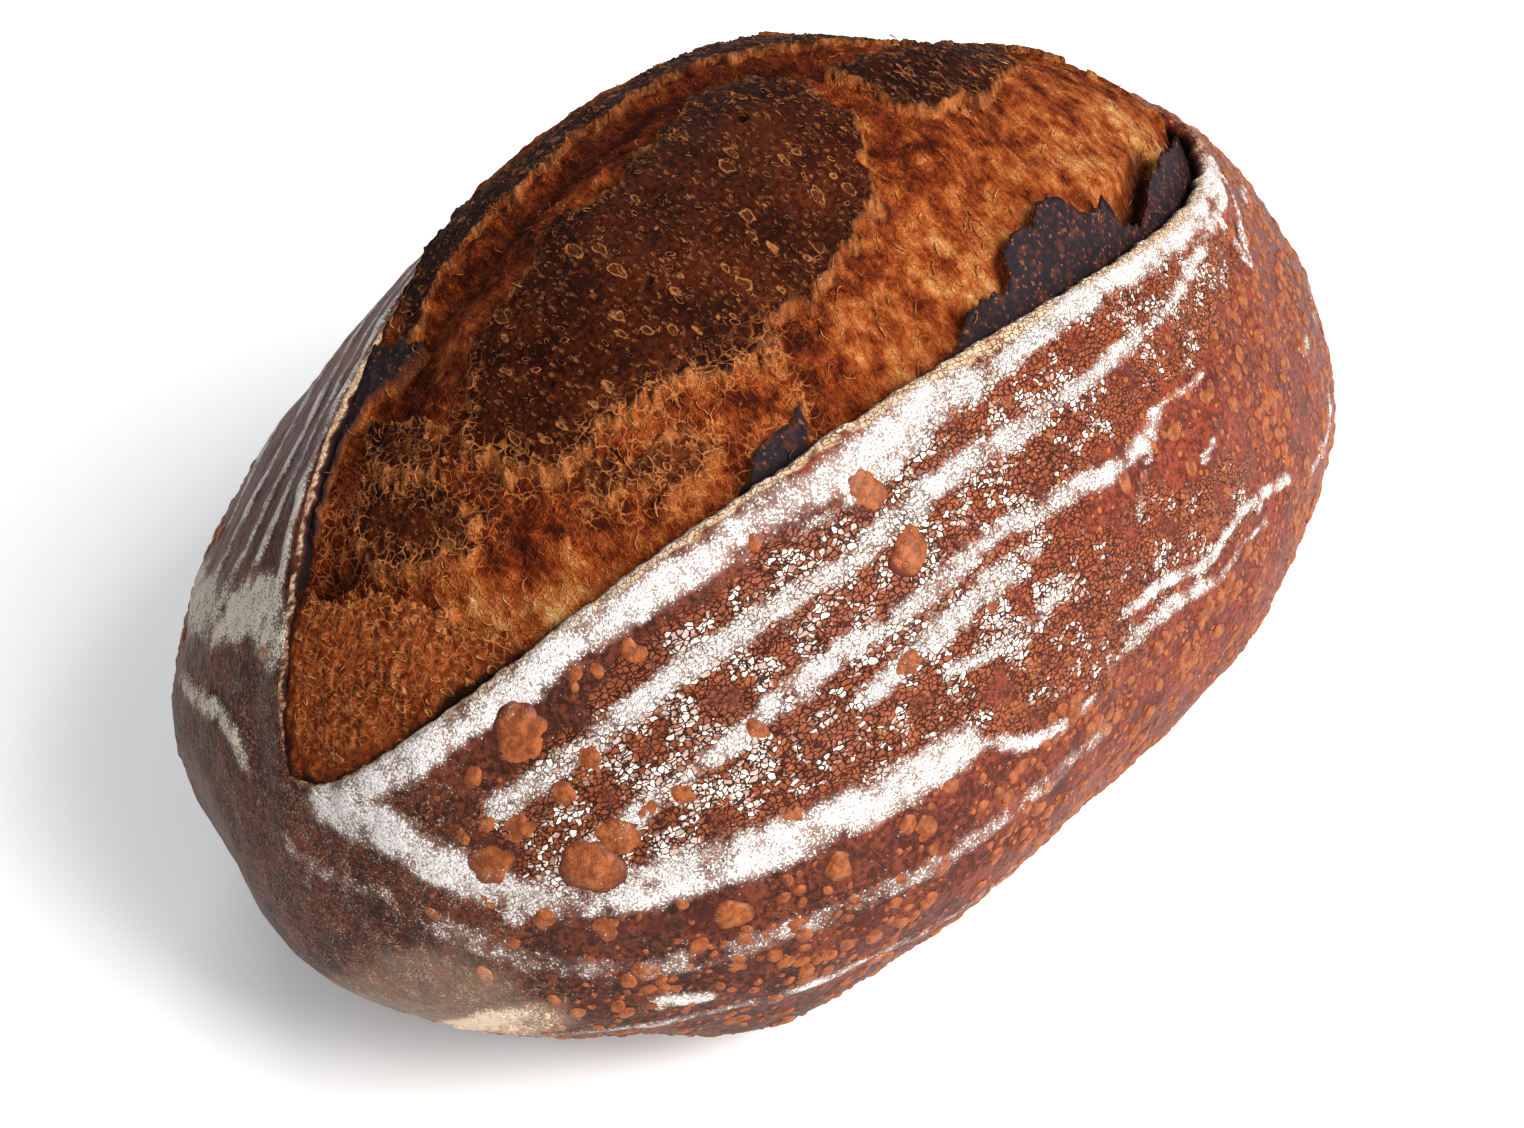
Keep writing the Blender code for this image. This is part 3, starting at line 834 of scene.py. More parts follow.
bloom[..., 2] += (height * MM).reshape(SECTIONS, ACROSS)

# %% [markdown]
# The hidden underside follows the same plan, a little lower, so that each section is a closed loop.

# %% Closing and painting the bloom
under_plan = bloom_plan[:, [-1, ACROSS * 2 // 3, ACROSS // 3, 0]]
under = bloom_top(under_plan)
under[..., 2] -= UNDERSIDE_DROP
sections = np.concatenate([bloom, under], axis=1)
tip_drop = [0.0, 0.0, UNDERSIDE_DROP / 2]
tips = [bloom_top(edge[None])[0] - tip_drop for edge in (near_edge[0], near_edge[-1])]
tips[0][0] += 0.4 * MM
tips[1][0] -= 0.4 * MM
bloom_mesh = loft("loaf_bloom", sections, tips[0], tips[1])


def over_bloom(values):
    """A value of the bloom's top, with 0 for its hidden underside."""
    return np.concatenate([values.reshape(SECTIONS, ACROSS), np.zeros((SECTIONS, 4))], axis=1)


# Middle in mm, reach in mm, then how pale, or how brown where it is below 0. The four dark spots
# on the far valley, at y 10 to 12 mm, are painted shade.
TOASTING_AND_SHADE = (
    (8, -40, 9, 0.34), (-8, -45, 7, 0.25), (-18, -46, 6, 0.20), (70, -22, 8, 0.75), (24, -35, 8, 0.28),
    (44, -30, 9, 0.40), (-14, -38, 4, 0.30), (-42, -41, 8, -0.10), (-54, -39, 6, 0.12),
    (-66, -37, 6, 0.45), (-78, -30, 6, 0.50), (-84, -20, 5, 0.40), (-28, 5, 7, 0.20), (-50, 6, 8, 0.05),
    (-64, -2, 6, -0.35), (14, -22, 8, -0.20), (34, -20, 10, -0.10), (58, -14, 9, 0.12),
    (-56, -34, 5, -0.45), (-7, -33, 5, -0.1), (-66, -26, 7, -0.55), (-20, -36, 12, -0.25),
    (-92, -15, 14, -0.45), (14, 11, 9, -0.5), (0, 12, 12, -0.6), (-76, -8, 10, -0.40),
    (-40, 10, 9, -0.35), (-20, 12, 9, -0.45),
)  # fmt: skip
pale = 0.36 + 0.34 * bloom_grain(4.5, 3, 51.0)
for x, y, reach, amount in TOASTING_AND_SHADE:
    pale += amount * spot(x, y, reach)
pale = clamp(pale)
shade = clamp(0.45 * smoothstep(1.6, 2.6, valleys) + 0.5 * smoothstep(2.8, 5.0, valleys))
gap = np.interp(plan_x, (-100, -85, -10, 10), (0.5, 2.0, 2.3, 1.2))
shade = np.maximum(shade, smoothstep(1.0, 0.1, (near_distance + 0.35 * ragged - gap) / 1.2))
shade = np.maximum(shade, smoothstep(2.6, 0.6, far_distance) * smoothstep(-30, -50, plan_x))
shade = np.maximum(shade, 0.9 * smoothstep(0.2, 0.7, holes))
near_border = bell(border / 1.6)
fibre_room = clamp(torn * (0.2 + 0.8 * smoothstep(0.4, 0.9, pale)) + near_border * 0.2)
fibre_room *= smoothstep(0.6, 2.0, edge_distance)
bubble_room = plateau * (1 - char) * smoothstep(0.5, 1.2, border) * smoothstep(2.5, 4.5, edge_distance)
web_room = clamp(bell(border / 2.2) * (1 - char) + 0.55 * tip_share)
web_room *= 0.85 * smoothstep(-58, -72, plan_x + 1.2 * plan_y) + 0.15
web_room *= smoothstep(2.0, 4.0, edge_distance)
brim = bell(border / 0.45) * (1 - char)
brim *= clamp(0.7 + bloom_grain(3, 2, 81.0))
for name, values in (
    ("plateau", plateau), ("roast", roast), ("char", char), ("pale", pale), ("shade", shade), ("torn", torn),
    ("brim", brim), ("fibre_room", fibre_room), ("bubble_room", bubble_room), ("web_room", web_room),
):  # fmt: skip
    paint(bloom_mesh, name, over_bloom(values))

# %% [markdown]
# ## Shader helpers
# A material is a graph, so a few small helpers keep each one readable. Some add a node and fill or
# link its inputs, the others make a node group with named sockets. Object coordinates are in
# metres, so every pattern below is given its real size.


# %% Small helpers for node graphs
def add_node(tree, kind, inputs=None, **settings):
    """Adds a node. Inputs maps a socket's name or index to a value, or to the socket that feeds it."""
    node = tree.nodes.new(kind)
    for setting, value in settings.items():
        setattr(node, setting, value)
    for key, value in (inputs or {}).items():
        if isinstance(value, bpy.types.NodeSocket):
            tree.links.new(value, node.inputs[key])
        else:
            node.inputs[key].default_value = value
    return node


def maths(tree, operation, first, second=0.5):
    """One sum of two values."""
    return add_node(tree, "ShaderNodeMath", {0: first, 1: second}, operation=operation).outputs[0]


def vector_maths(tree, operation, inputs):
    """One sum of vectors."""
    return add_node(tree, "ShaderNodeVectorMath", inputs, operation=operation).outputs[0]


def weighted(tree, *parts):
    """A sum of values, each times its weight."""
    total = None
    for value, weight in parts:
        part = maths(tree, "MULTIPLY", value, weight)
        total = maths(tree, "ADD", total, part) if total else part
    return total


def ramp(tree, value, start, end, low_value=0.0, high_value=1.0):
    """A smooth climb from one value to another, between two thresholds."""
    inputs = {"Value": value, "From Min": start, "From Max": end, "To Min": low_value, "To Max": high_value}
    return add_node(tree, "ShaderNodeMapRange", inputs, interpolation_type="SMOOTHSTEP").outputs[0]


def mix(tree, share, first, second):
    """The first colour turning into the second as share goes from 0 to 1."""
    return add_node(tree, "ShaderNodeMix", {0: share, 6: first, 7: second}, data_type="RGBA").outputs[2]


def fact(tree, name):
    """A number painted on the mesh."""
    return add_node(tree, "ShaderNodeAttribute", attribute_name=name).outputs["Fac"]


def stretched_place(tree, turn_degrees=(0, 0, 0), stretch=(1, 1, 1)):
    """Object coordinates, turned and stretched."""
    place = add_node(tree, "ShaderNodeTexCoord").outputs["Object"]
    turned = [math.radians(a) for a in turn_degrees]
    inputs = {"Vector": place, "Rotation": turned, "Scale": stretch}
    return add_node(tree, "ShaderNodeMapping", inputs).outputs[0]


def noise_texture(tree, place, scale, detail, roughness=0.5, distortion=0.0):
    """Noise at a place, about 0.5 on average."""
    inputs = {"Vector": place, "Scale": scale, "Detail": detail}
    inputs.update({"Roughness": roughness, "Distortion": distortion})
    return add_node(tree, "ShaderNodeTexNoise", inputs).outputs[0]


def cell_edges(tree, place, scale):
    """The distance to the nearest edge between cells."""
    inputs = {"Vector": place, "Scale": scale}
    return add_node(tree, "ShaderNodeTexVoronoi", inputs, feature="DISTANCE_TO_EDGE").outputs[0]


def cells(tree, place, scale):
    """The distance to the nearest cell's middle, then two random numbers for that cell."""
    middles = add_node(tree, "ShaderNodeTexVoronoi", {"Vector": place, "Scale": scale}).outputs
    luck = add_node(tree, "ShaderNodeSeparateColor", {0: middles["Color"]}).outputs
    return middles["Distance"], luck[0], luck[1]


def warped(tree, place, ripple, amount):
    """A place pushed about by noise, by up to an amount in metres."""
    wave = add_node(tree, "ShaderNodeTexNoise", {"Vector": place, "Scale": ripple, "Detail": 2.0}).outputs[1]
    return vector_maths(tree, "MULTIPLY_ADD", {0: wave, 1: (amount, amount, amount), 2: place})


def new_group(name, **takes):
    """Starts a shader node group whose inputs have these names and values."""
    tree = bpy.data.node_groups.new(name, "ShaderNodeTree")
    for socket, value in takes.items():
        kind = "NodeSocketColor" if isinstance(value, tuple) else "NodeSocketFloat"
        tree.interface.new_socket(socket, in_out="INPUT", socket_type=kind).default_value = value
    return tree, tree.nodes.new("NodeGroupInput").outputs


def give(tree, **results):
    """Gives a group its named outputs, each fed by one socket."""
    for name, value in results.items():
        kind = "NodeSocketColor" if value.type == "RGBA" else "NodeSocketFloat"
        tree.interface.new_socket(name, in_out="OUTPUT", socket_type=kind)
    ends = tree.nodes.new("NodeGroupOutput").inputs
    for name, value in results.items():
        tree.links.new(value, ends[name])
    return tree


def use_group(tree, group, **inputs):
    """Places a group in a material with its own values, and returns its outputs."""
    return add_node(tree, "ShaderNodeGroup", inputs, node_tree=group).outputs


def new_material(name):
    """A material with nodes, and its graph."""
    material = bpy.data.materials.new(name)
    material.use_nodes = True
    return material, material.node_tree


def finish_material(name, colour, roughness, height, specular):
    """Feeds a material's Principled BSDF, with a bump from a height in metres."""
    tree = colour.id_data
    shader = tree.nodes["Principled BSDF"].inputs
    bump = add_node(tree, "ShaderNodeBump", {"Strength": 1.0, "Distance": 1.0, "Height": height})
    tree.links.new(colour, shader["Base Color"])
    tree.links.new(roughness, shader["Roughness"])
    tree.links.new(bump.outputs[0], shader["Normal"])
    shader["Specular IOR Level"].default_value = specular
    print(f"material {name}: {len(tree.nodes)} nodes")


# %% [markdown]
# ## Shared finishes
# Five effects turn up in the materials. Flour is grains that get denser with the painted density.
# Crackled flour is chips between dark cracks. Baked skin is the leathery crust itself: mottled
# colour, with tiny blisters too small to model. Burst bubbles are paler rims on the plateaus, and
# toasted crumb is brown and cream strands.

# %% Group: grains of flour
tree, takes = new_group("flour_grains", Density=0.5, Grain=2400.0)
place = stretched_place(tree)
fine = noise_texture(tree, place, takes["Grain"], 2.0, 0.6)
clumps = noise_texture(tree, place, 480.0, 3.0, 0.6)
mixed = weighted(tree, (fine, 0.70), (clumps, 0.30))
threshold = ramp(tree, takes["Density"], 0.0, 1.0, 0.70, 0.40)
mask = ramp(tree, maths(tree, "SUBTRACT", mixed, threshold), -0.015, 0.055)
film = ramp(tree, maths(tree, "ADD", takes["Density"], weighted(tree, (clumps, 0.5))), 0.56, 1.15)
height = weighted(tree, (mask, 0.00010), (clumps, 0.0003))
flour_grains = give(tree, Mask=mask, Film=film, Height=height)

# %% Group: crackled flour
tree, takes = new_group("flour_chips", Density=0.5, Chips=1500.0)
place = stretched_place(tree, (0, 0, 8), (0.75, 1.0, 1.0))
crazed = warped(tree, place, 900.0, 0.0012)
edges = cell_edges(tree, crazed, takes["Chips"])
_, chip_luck, white_luck = cells(tree, crazed, takes["Chips"])
clusters = noise_texture(tree, place, 260.0, 2.0)
chance = weighted(tree, (chip_luck, 0.40), (clusters, 0.98))
kept = ramp(tree, maths(tree, "SUBTRACT", takes["Density"], chance), -0.05, 0.10)
crazing = ramp(tree, takes["Density"], 0.05, 0.45)
chip = maths(tree, "MULTIPLY", ramp(tree, edges, 0.04, 0.13), kept)
whiteness = maths(tree, "MULTIPLY", chip, ramp(tree, white_luck, 0.0, 1.0, 0.30, 1.0))
cell = maths(tree, "MULTIPLY", ramp(tree, edges, 0.05, 0.20), crazing)
crack = maths(tree, "MULTIPLY", ramp(tree, edges, 0.10, 0.02), crazing)
height = weighted(tree, (chip, 0.00022), (crack, -0.00022))
flour_chips = give(tree, Mask=whiteness, Cell=cell, Crack=crack, Height=height)

# %% Group: baked skin
tree, takes = new_group(
    "baked_skin",
    Dark=(0.05, 0.012, 0.008, 1),
    Light=(0.2, 0.05, 0.022, 1),
    Bubble=(0.4, 0.13, 0.04, 1),
    Bubbling=0.5,
)
place = stretched_place(tree)
broad = noise_texture(tree, place, 140.0, 4.0)
narrow = noise_texture(tree, place, 1100.0, 3.0, 0.6)
mottle = weighted(tree, (broad, 0.35), (narrow, 0.65))
colour = mix(tree, ramp(tree, mottle, 0.41, 0.60), takes["Dark"], takes["Light"])
from_dot, size_luck, dot_luck = cells(tree, place, 620.0)
size = ramp(tree, size_luck, 0.0, 1.0, 0.12, 0.42)
dot = ramp(tree, maths(tree, "SUBTRACT", size, from_dot), 0.0, 0.12)
chosen = ramp(tree, maths(tree, "SUBTRACT", takes["Bubbling"], dot_luck), 0.0, 0.15)
bubble = maths(tree, "MULTIPLY", dot, chosen)
colour = mix(tree, weighted(tree, (bubble, 0.75)), colour, takes["Bubble"])
height = weighted(tree, (bubble, 0.00025), (narrow, 0.00025))
baked_skin = give(tree, Color=colour, Height=height)

# %% Group: burst bubbles
tree, takes = new_group("burst_bubbles", Density=0.5, Bubbles=600.0)
place = stretched_place(tree, (0, 0, -25), (1.0, 0.48, 1.0))
from_middle, kept_luck, size_luck = cells(tree, warped(tree, place, 650.0, 0.0013), takes["Bubbles"])
kept = ramp(tree, maths(tree, "SUBTRACT", takes["Density"], kept_luck), -0.02, 0.10)
past_rim = maths(tree, "SUBTRACT", from_middle, ramp(tree, size_luck, 0.0, 1.0, 0.06, 0.38))
off_rim = maths(tree, "ABSOLUTE", past_rim)
rim_share = maths(tree, "MULTIPLY", ramp(tree, off_rim, 0.11, 0.02), kept)
inside = maths(tree, "MULTIPLY", ramp(tree, past_rim, 0.02, -0.08), kept)
height = weighted(tree, (rim_share, 0.00035), (inside, -0.0001))
burst_bubbles = give(tree, Rim=rim_share, Inside=inside, Height=height)

# %% Group: toasted crumb
# How toasted, from dark to pale, then the colour there.
TOAST_STOPS = (
    (0.30, (0.040, 0.007, 0.003, 1)),
    (0.39, (0.135, 0.026, 0.006, 1)),
    (0.47, (0.245, 0.064, 0.016, 1)),
    (0.56, (0.350, 0.145, 0.046, 1)),
    (0.66, (0.500, 0.305, 0.145, 1)),
)
tree, takes = new_group("toasted_crumb", Pale=0.5, Fibre=1500.0)
strands = noise_texture(
    tree, stretched_place(tree, (0, 0, 8), (1.0, 0.20, 0.5)), takes["Fibre"], 3.0, 0.62, 0.7
)
place = stretched_place(tree)
toasting = noise_texture(tree, place, 330.0, 5.0, 0.72)
web_line = ramp(tree, cell_edges(tree, place, 950.0), 0.12, 0.0)
browning = weighted(tree, (strands, 0.26), (toasting, 0.50), (web_line, 0.06))
level = maths(tree, "ADD", browning, ramp(tree, takes["Pale"], 0.0, 1.0, -0.06, 0.16))
toast = add_node(tree, "ShaderNodeValToRGB", {0: level})
stops = toast.color_ramp.elements
while len(stops) < len(TOAST_STOPS):
    stops.new(0.5)
for stop, (position, colour) in zip(stops, TOAST_STOPS):
    stop.position = position
    stop.color = colour
height = weighted(tree, (strands, 0.0004), (web_line, 0.00018))
toasted_crumb = give(tree, Color=toast.outputs[0], Height=height)

# %% [markdown]
# ## The crust's material
# Baked skin comes first, darker and greyer at the left end and redder at the right. Large blisters
# turn it orange-brown, thin dust greys it, and flour lies on top, as grains in the rings and as
# chips where it has crackled. The cut edge of the ear is cream, and its inner wall is charred.

# %% Material: crust
DARK_LEFT, DARK_RIGHT = (0.028, 0.010, 0.006, 1), (0.070, 0.012, 0.006, 1)
LIGHT_LEFT, LIGHT_RIGHT = (0.110, 0.031, 0.016, 1), (0.185, 0.036, 0.016, 1)
CRUST_BUBBLE = (0.36, 0.110, 0.032, 1)
DOME_FOOT_SHADE = (0.075, 0.017, 0.010, 1)
DOME_DARK, DOME_LIGHT = (0.150, 0.040, 0.012, 1), (0.262, 0.080, 0.024, 1)
BLISTER_SHADOW = (0.060, 0.014, 0.009, 1)
DUST = (0.34, 0.26, 0.18, 1)
TAN = (0.72, 0.56, 0.40, 1)
CRAZED, CRACK, CHIP = (0.270, 0.085, 0.032, 1), (0.040, 0.010, 0.006, 1), (0.76, 0.68, 0.61, 1)
CREAM = (0.58, 0.41, 0.26, 1)
THIN_FLOUR, SHADED_THIN = (0.42, 0.335, 0.29, 1), (0.29, 0.245, 0.185, 1)
FLOUR, SHADED_FLOUR = (0.61, 0.57, 0.55, 1), (0.58, 0.51, 0.42, 1)
CHAR = (0.012, 0.007, 0.007, 1)


def crust_layers(tree, dome_share=None):
    """The crust's colour, roughness and height, shared by the skin and its blisters."""
    redness, edge, shaded = fact(tree, "redness"), fact(tree, "cut_edge"), fact(tree, "shaded")
    skin = use_group(
        tree,
        baked_skin,
        Dark=mix(tree, redness, DARK_LEFT, DARK_RIGHT),
        Light=mix(tree, redness, LIGHT_LEFT, LIGHT_RIGHT),
        Bubble=CRUST_BUBBLE,
        Bubbling=ramp(tree, redness, 0.35, 1.0, 0.05, 0.62),
    )
    if dome_share:
        tone = noise_texture(tree, stretched_place(tree), 700.0, 4.0, 0.6)
        top = mix(tree, ramp(tree, tone, 0.38, 0.62), DOME_DARK, DOME_LIGHT)
        # Painted shade: each blister is darker at its foot, where it meets the skin.
        colour = mix(tree, ramp(tree, dome_share, 0.02, 0.30), DOME_FOOT_SHADE, top)
        sprinkle, flour_share = 0.23, 0.45
    else:
        colour = mix(tree, weighted(tree, (fact(tree, "blister"), 0.7)), skin["Color"], BLISTER_SHADOW)
        sprinkle, flour_share = 0.25, 0.67
    dust = use_group(tree, flour_grains, Density=weighted(tree, (fact(tree, "dust"), 0.48)), Grain=3000.0)
    dust_share = weighted(tree, (dust["Mask"], 0.65))
    colour = mix(tree, dust_share, colour, DUST)
    tan = fact(tree, "tan")
    tan_dust = use_group(tree, flour_grains, Density=weighted(tree, (tan, 0.95)), Grain=2600.0)
    colour = mix(tree, weighted(tree, (tan, 0.38), (tan_dust["Mask"], 0.46)), colour, TAN)
    flour = fact(tree, "flour")
    density = weighted(tree, (fact(tree, "crackle"), 0.85), (flour, 0.26), (edge, 0.40))
    chips = use_group(tree, flour_chips, Density=density, Chips=1350.0)
    colour = mix(tree, weighted(tree, (chips["Cell"], 0.55)), colour, CRAZED)
    if not dome_share:
        streak = noise_texture(tree, stretched_place(tree, (0, 0, 0), (0.3, 1, 2)), 1000.0, 4.0)
        cream_share = maths(tree, "ADD", edge, weighted(tree, (streak, 0.9)))
        colour = mix(tree, ramp(tree, cream_share, 0.75, 1.15, 0.0, 0.85), colour, CREAM)
    colour = mix(tree, weighted(tree, (chips["Crack"], 0.8)), colour, CRACK)
    colour = mix(tree, weighted(tree, (chips["Mask"], 0.92)), colour, CHIP)
    density = maths(tree, "ADD", weighted(tree, (flour, flour_share), (edge, 0.12)), sprinkle)
    grains = use_group(tree, flour_grains, Density=density, Grain=2700.0)
    thin = mix(tree, shaded, THIN_FLOUR, SHADED_THIN)
    thick = mix(tree, shaded, FLOUR, SHADED_FLOUR)
    colour = mix(tree, weighted(tree, (grains["Film"], 0.78)), colour, thin)
    colour = mix(tree, weighted(tree, (grains["Mask"], 0.95)), colour, thick)
    powder = maths(tree, "MAXIMUM", grains["Mask"], chips["Mask"])
    dull = maths(tree, "MAXIMUM", powder, maths(tree, "MAXIMUM", dust_share, fact(tree, "char")))
    roughness = ramp(tree, dull, 0.0, 1.0, 0.44, 0.92)
    height = maths(tree, "ADD", skin["Height"], chips["Height"])
    return colour, roughness, maths(tree, "ADD", height, grains["Height"])


crust_material, tree = new_material("floured_crust")
colour, roughness, height = crust_layers(tree)
colour = mix(tree, fact(tree, "char"), colour, CHAR)
finish_material("floured_crust", colour, roughness, height, 0.15)

# %% Material: blisters
blister_material, tree = new_material("blister_skin")
colour, roughness, height = crust_layers(tree, fact(tree, "dome"))
finish_material("blister_skin", colour, roughness, height, 0.22)

# %% [markdown]
# ## The bloom's material
# Plateaus are the same baked skin, roasted darker and peppered with burst bubbles, whose rims are
# paler. Between them lies toasted crumb, palest where it was pulled the furthest. Char is almost
# black, with a faint cool tinge of painted sheen, and browner in spots. Each pair of colours below
# is for a light and for a dark roast.

# %% Material: bloom
DARK_ROAST = (0.110, 0.023, 0.006, 1), (0.009, 0.0015, 0.0006, 1)
LIGHT_ROAST = (0.270, 0.066, 0.016, 1), (0.030, 0.005, 0.0012, 1)
SPECK = (0.42, 0.150, 0.042, 1), (0.165, 0.054, 0.018, 1)
RIM = (0.50, 0.220, 0.078, 1), (0.270, 0.108, 0.040, 1)
WEB = (0.380, 0.145, 0.048, 1)
# Char: black with a faint cool tinge of painted sheen, then brown, then orange specks.
CHAR_BLACK_SHEEN, CHAR_BROWN = (0.021, 0.015, 0.018, 1), (0.070, 0.026, 0.019, 1)
CHAR_SPECK = (0.30, 0.110, 0.045, 1)
DEEP_SHADE = (0.012, 0.004, 0.002, 1)

bloom_material, tree = new_material("torn_bloom")
plateau_fact, char_fact, roasted = fact(tree, "plateau"), fact(tree, "char"), fact(tree, "roast")
crumb = use_group(tree, toasted_crumb, Pale=fact(tree, "pale"), Fibre=1500.0)
pairs = (DARK_ROAST, LIGHT_ROAST, SPECK, RIM)
dark, light, speck, rim_colour = (mix(tree, roasted, *pair) for pair in pairs)
top_skin = use_group(tree, baked_skin, Dark=dark, Light=light, Bubble=speck, Bubbling=0.15)
small = use_group(tree, burst_bubbles, Density=0.95, Bubbles=1250.0)
large = use_group(tree, burst_bubbles, Density=0.40, Bubbles=470.0)
top_colour = top_skin["Color"]
for bubbles, fill, edging in ((small, 0.70, 0.45), (large, 0.15, 0.80)):
    top_colour = mix(tree, weighted(tree, (bubbles["Inside"], fill)), top_colour, speck)
    top_colour = mix(tree, weighted(tree, (bubbles["Rim"], edging)), top_colour, rim_colour)
colour = mix(tree, plateau_fact, crumb["Color"], top_colour)
webs = ramp(tree, cell_edges(tree, warped(tree, stretched_place(tree), 420.0, 0.0028), 520.0), 0.085, 0.02)
webs = maths(tree, "MULTIPLY", webs, fact(tree, "web_room"))
webs = maths(tree, "MAXIMUM", weighted(tree, (webs, 0.85)), weighted(tree, (fact(tree, "brim"), 0.8)))
colour = mix(tree, webs, colour, WEB)
char_grain = noise_texture(tree, stretched_place(tree), 600.0, 4.0, 0.6)
char_colour = mix(tree, ramp(tree, char_grain, 0.50, 0.66), CHAR_BLACK_SHEEN, CHAR_BROWN)
char_colour = mix(tree, weighted(tree, (small["Inside"], 0.45)), char_colour, CHAR_SPECK)
colour = mix(tree, char_fact, colour, char_colour)
# Painted shade: valleys, holes and the gaps along the bloom's edges turn almost black.
colour = mix(tree, weighted(tree, (fact(tree, "shade"), 0.94)), colour, DEEP_SHADE)
roughness = ramp(tree, maths(tree, "MAXIMUM", plateau_fact, char_fact), 0.0, 1.0, 0.85, 0.56)
top_height = maths(tree, "ADD", top_skin["Height"], maths(tree, "ADD", small["Height"], large["Height"]))
height = maths(tree, "MULTIPLY", crumb["Height"], fact(tree, "torn"))
height = maths(tree, "ADD", height, maths(tree, "MULTIPLY", top_height, plateau_fact))
char_height = maths(tree, "MULTIPLY", char_grain, weighted(tree, (char_fact, 0.0008)))
finish_material("torn_bloom", colour, roughness, maths(tree, "ADD", height, char_height), 0.07)

# %% Materials: torn fibres and bubble rims
FIBRE_SHADE = (0.02, 0.007, 0.003, 1)
RIM_LIGHT = (0.48, 0.190, 0.060, 1), (0.215, 0.080, 0.030, 1)
RIM_DARK = (0.25, 0.065, 0.017, 1), (0.075, 0.020, 0.008, 1)

fibre_material, tree = new_material("toasted_fibre")
pale_fact = fact(tree, "pale")
crumb = use_group(tree, toasted_crumb, Pale=maths(tree, "ADD", pale_fact, 0.55), Fibre=900.0)
colour = mix(tree, weighted(tree, (fact(tree, "shade"), 0.9)), crumb["Color"], FIBRE_SHADE)
finish_material("toasted_fibre", colour, ramp(tree, pale_fact, 0.0, 1.0, 0.75, 0.85), crumb["Height"], 0.2)

rim_material, tree = new_material("bubble_rim")
roasted = fact(tree, "roast")
tone = noise_texture(tree, stretched_place(tree), 450.0, 3.0)
dark, light = (mix(tree, roasted, *pair) for pair in (RIM_DARK, RIM_LIGHT))
colour = mix(tree, ramp(tree, tone, 0.40, 0.60), dark, light)
roughness = ramp(tree, tone, 0.0, 1.0, 0.55, 0.75)
finish_material("bubble_rim", colour, roughness, weighted(tree, (tone, 0.0004)), 0.3)

# %% [markdown]
# ## The two surfaces become pieces
# With their materials ready, the crust and the bloom go into the scene in place of the plain solid.

# %% Adding the crust and the bloom
loaf_crust = add_piece(crust_mesh, crust_material)
add_piece(dome_mesh, blister_material)
loaf_bloom = add_piece(bloom_mesh, bloom_material)

# %% [markdown]
# ## Scattering with Geometry Nodes
# Small blisters, bubble rims and torn fibres repeat in their thousands. One tree serves them all:
# it drops points on a surface where a painted number allows, at least a spacing apart, and puts a
# shape on each, laid along the surface and turned and sized at random. The shape is built by its
# own few nodes. Realised instances carry the surface's painted numbers with them, so a blister on
# a floured ring is floured as well.

# %% The scattering tree
FAVOUR_SMALL = 2.6
SWAY_RIPPLE = 900.0


def random_number(tree, least, most, seed):
    """A random number for each point."""
    inputs = {2: least, 3: most, "Seed": seed}
    return add_node(tree, "FunctionNodeRandomValue", inputs, data_type="FLOAT").outputs[1]


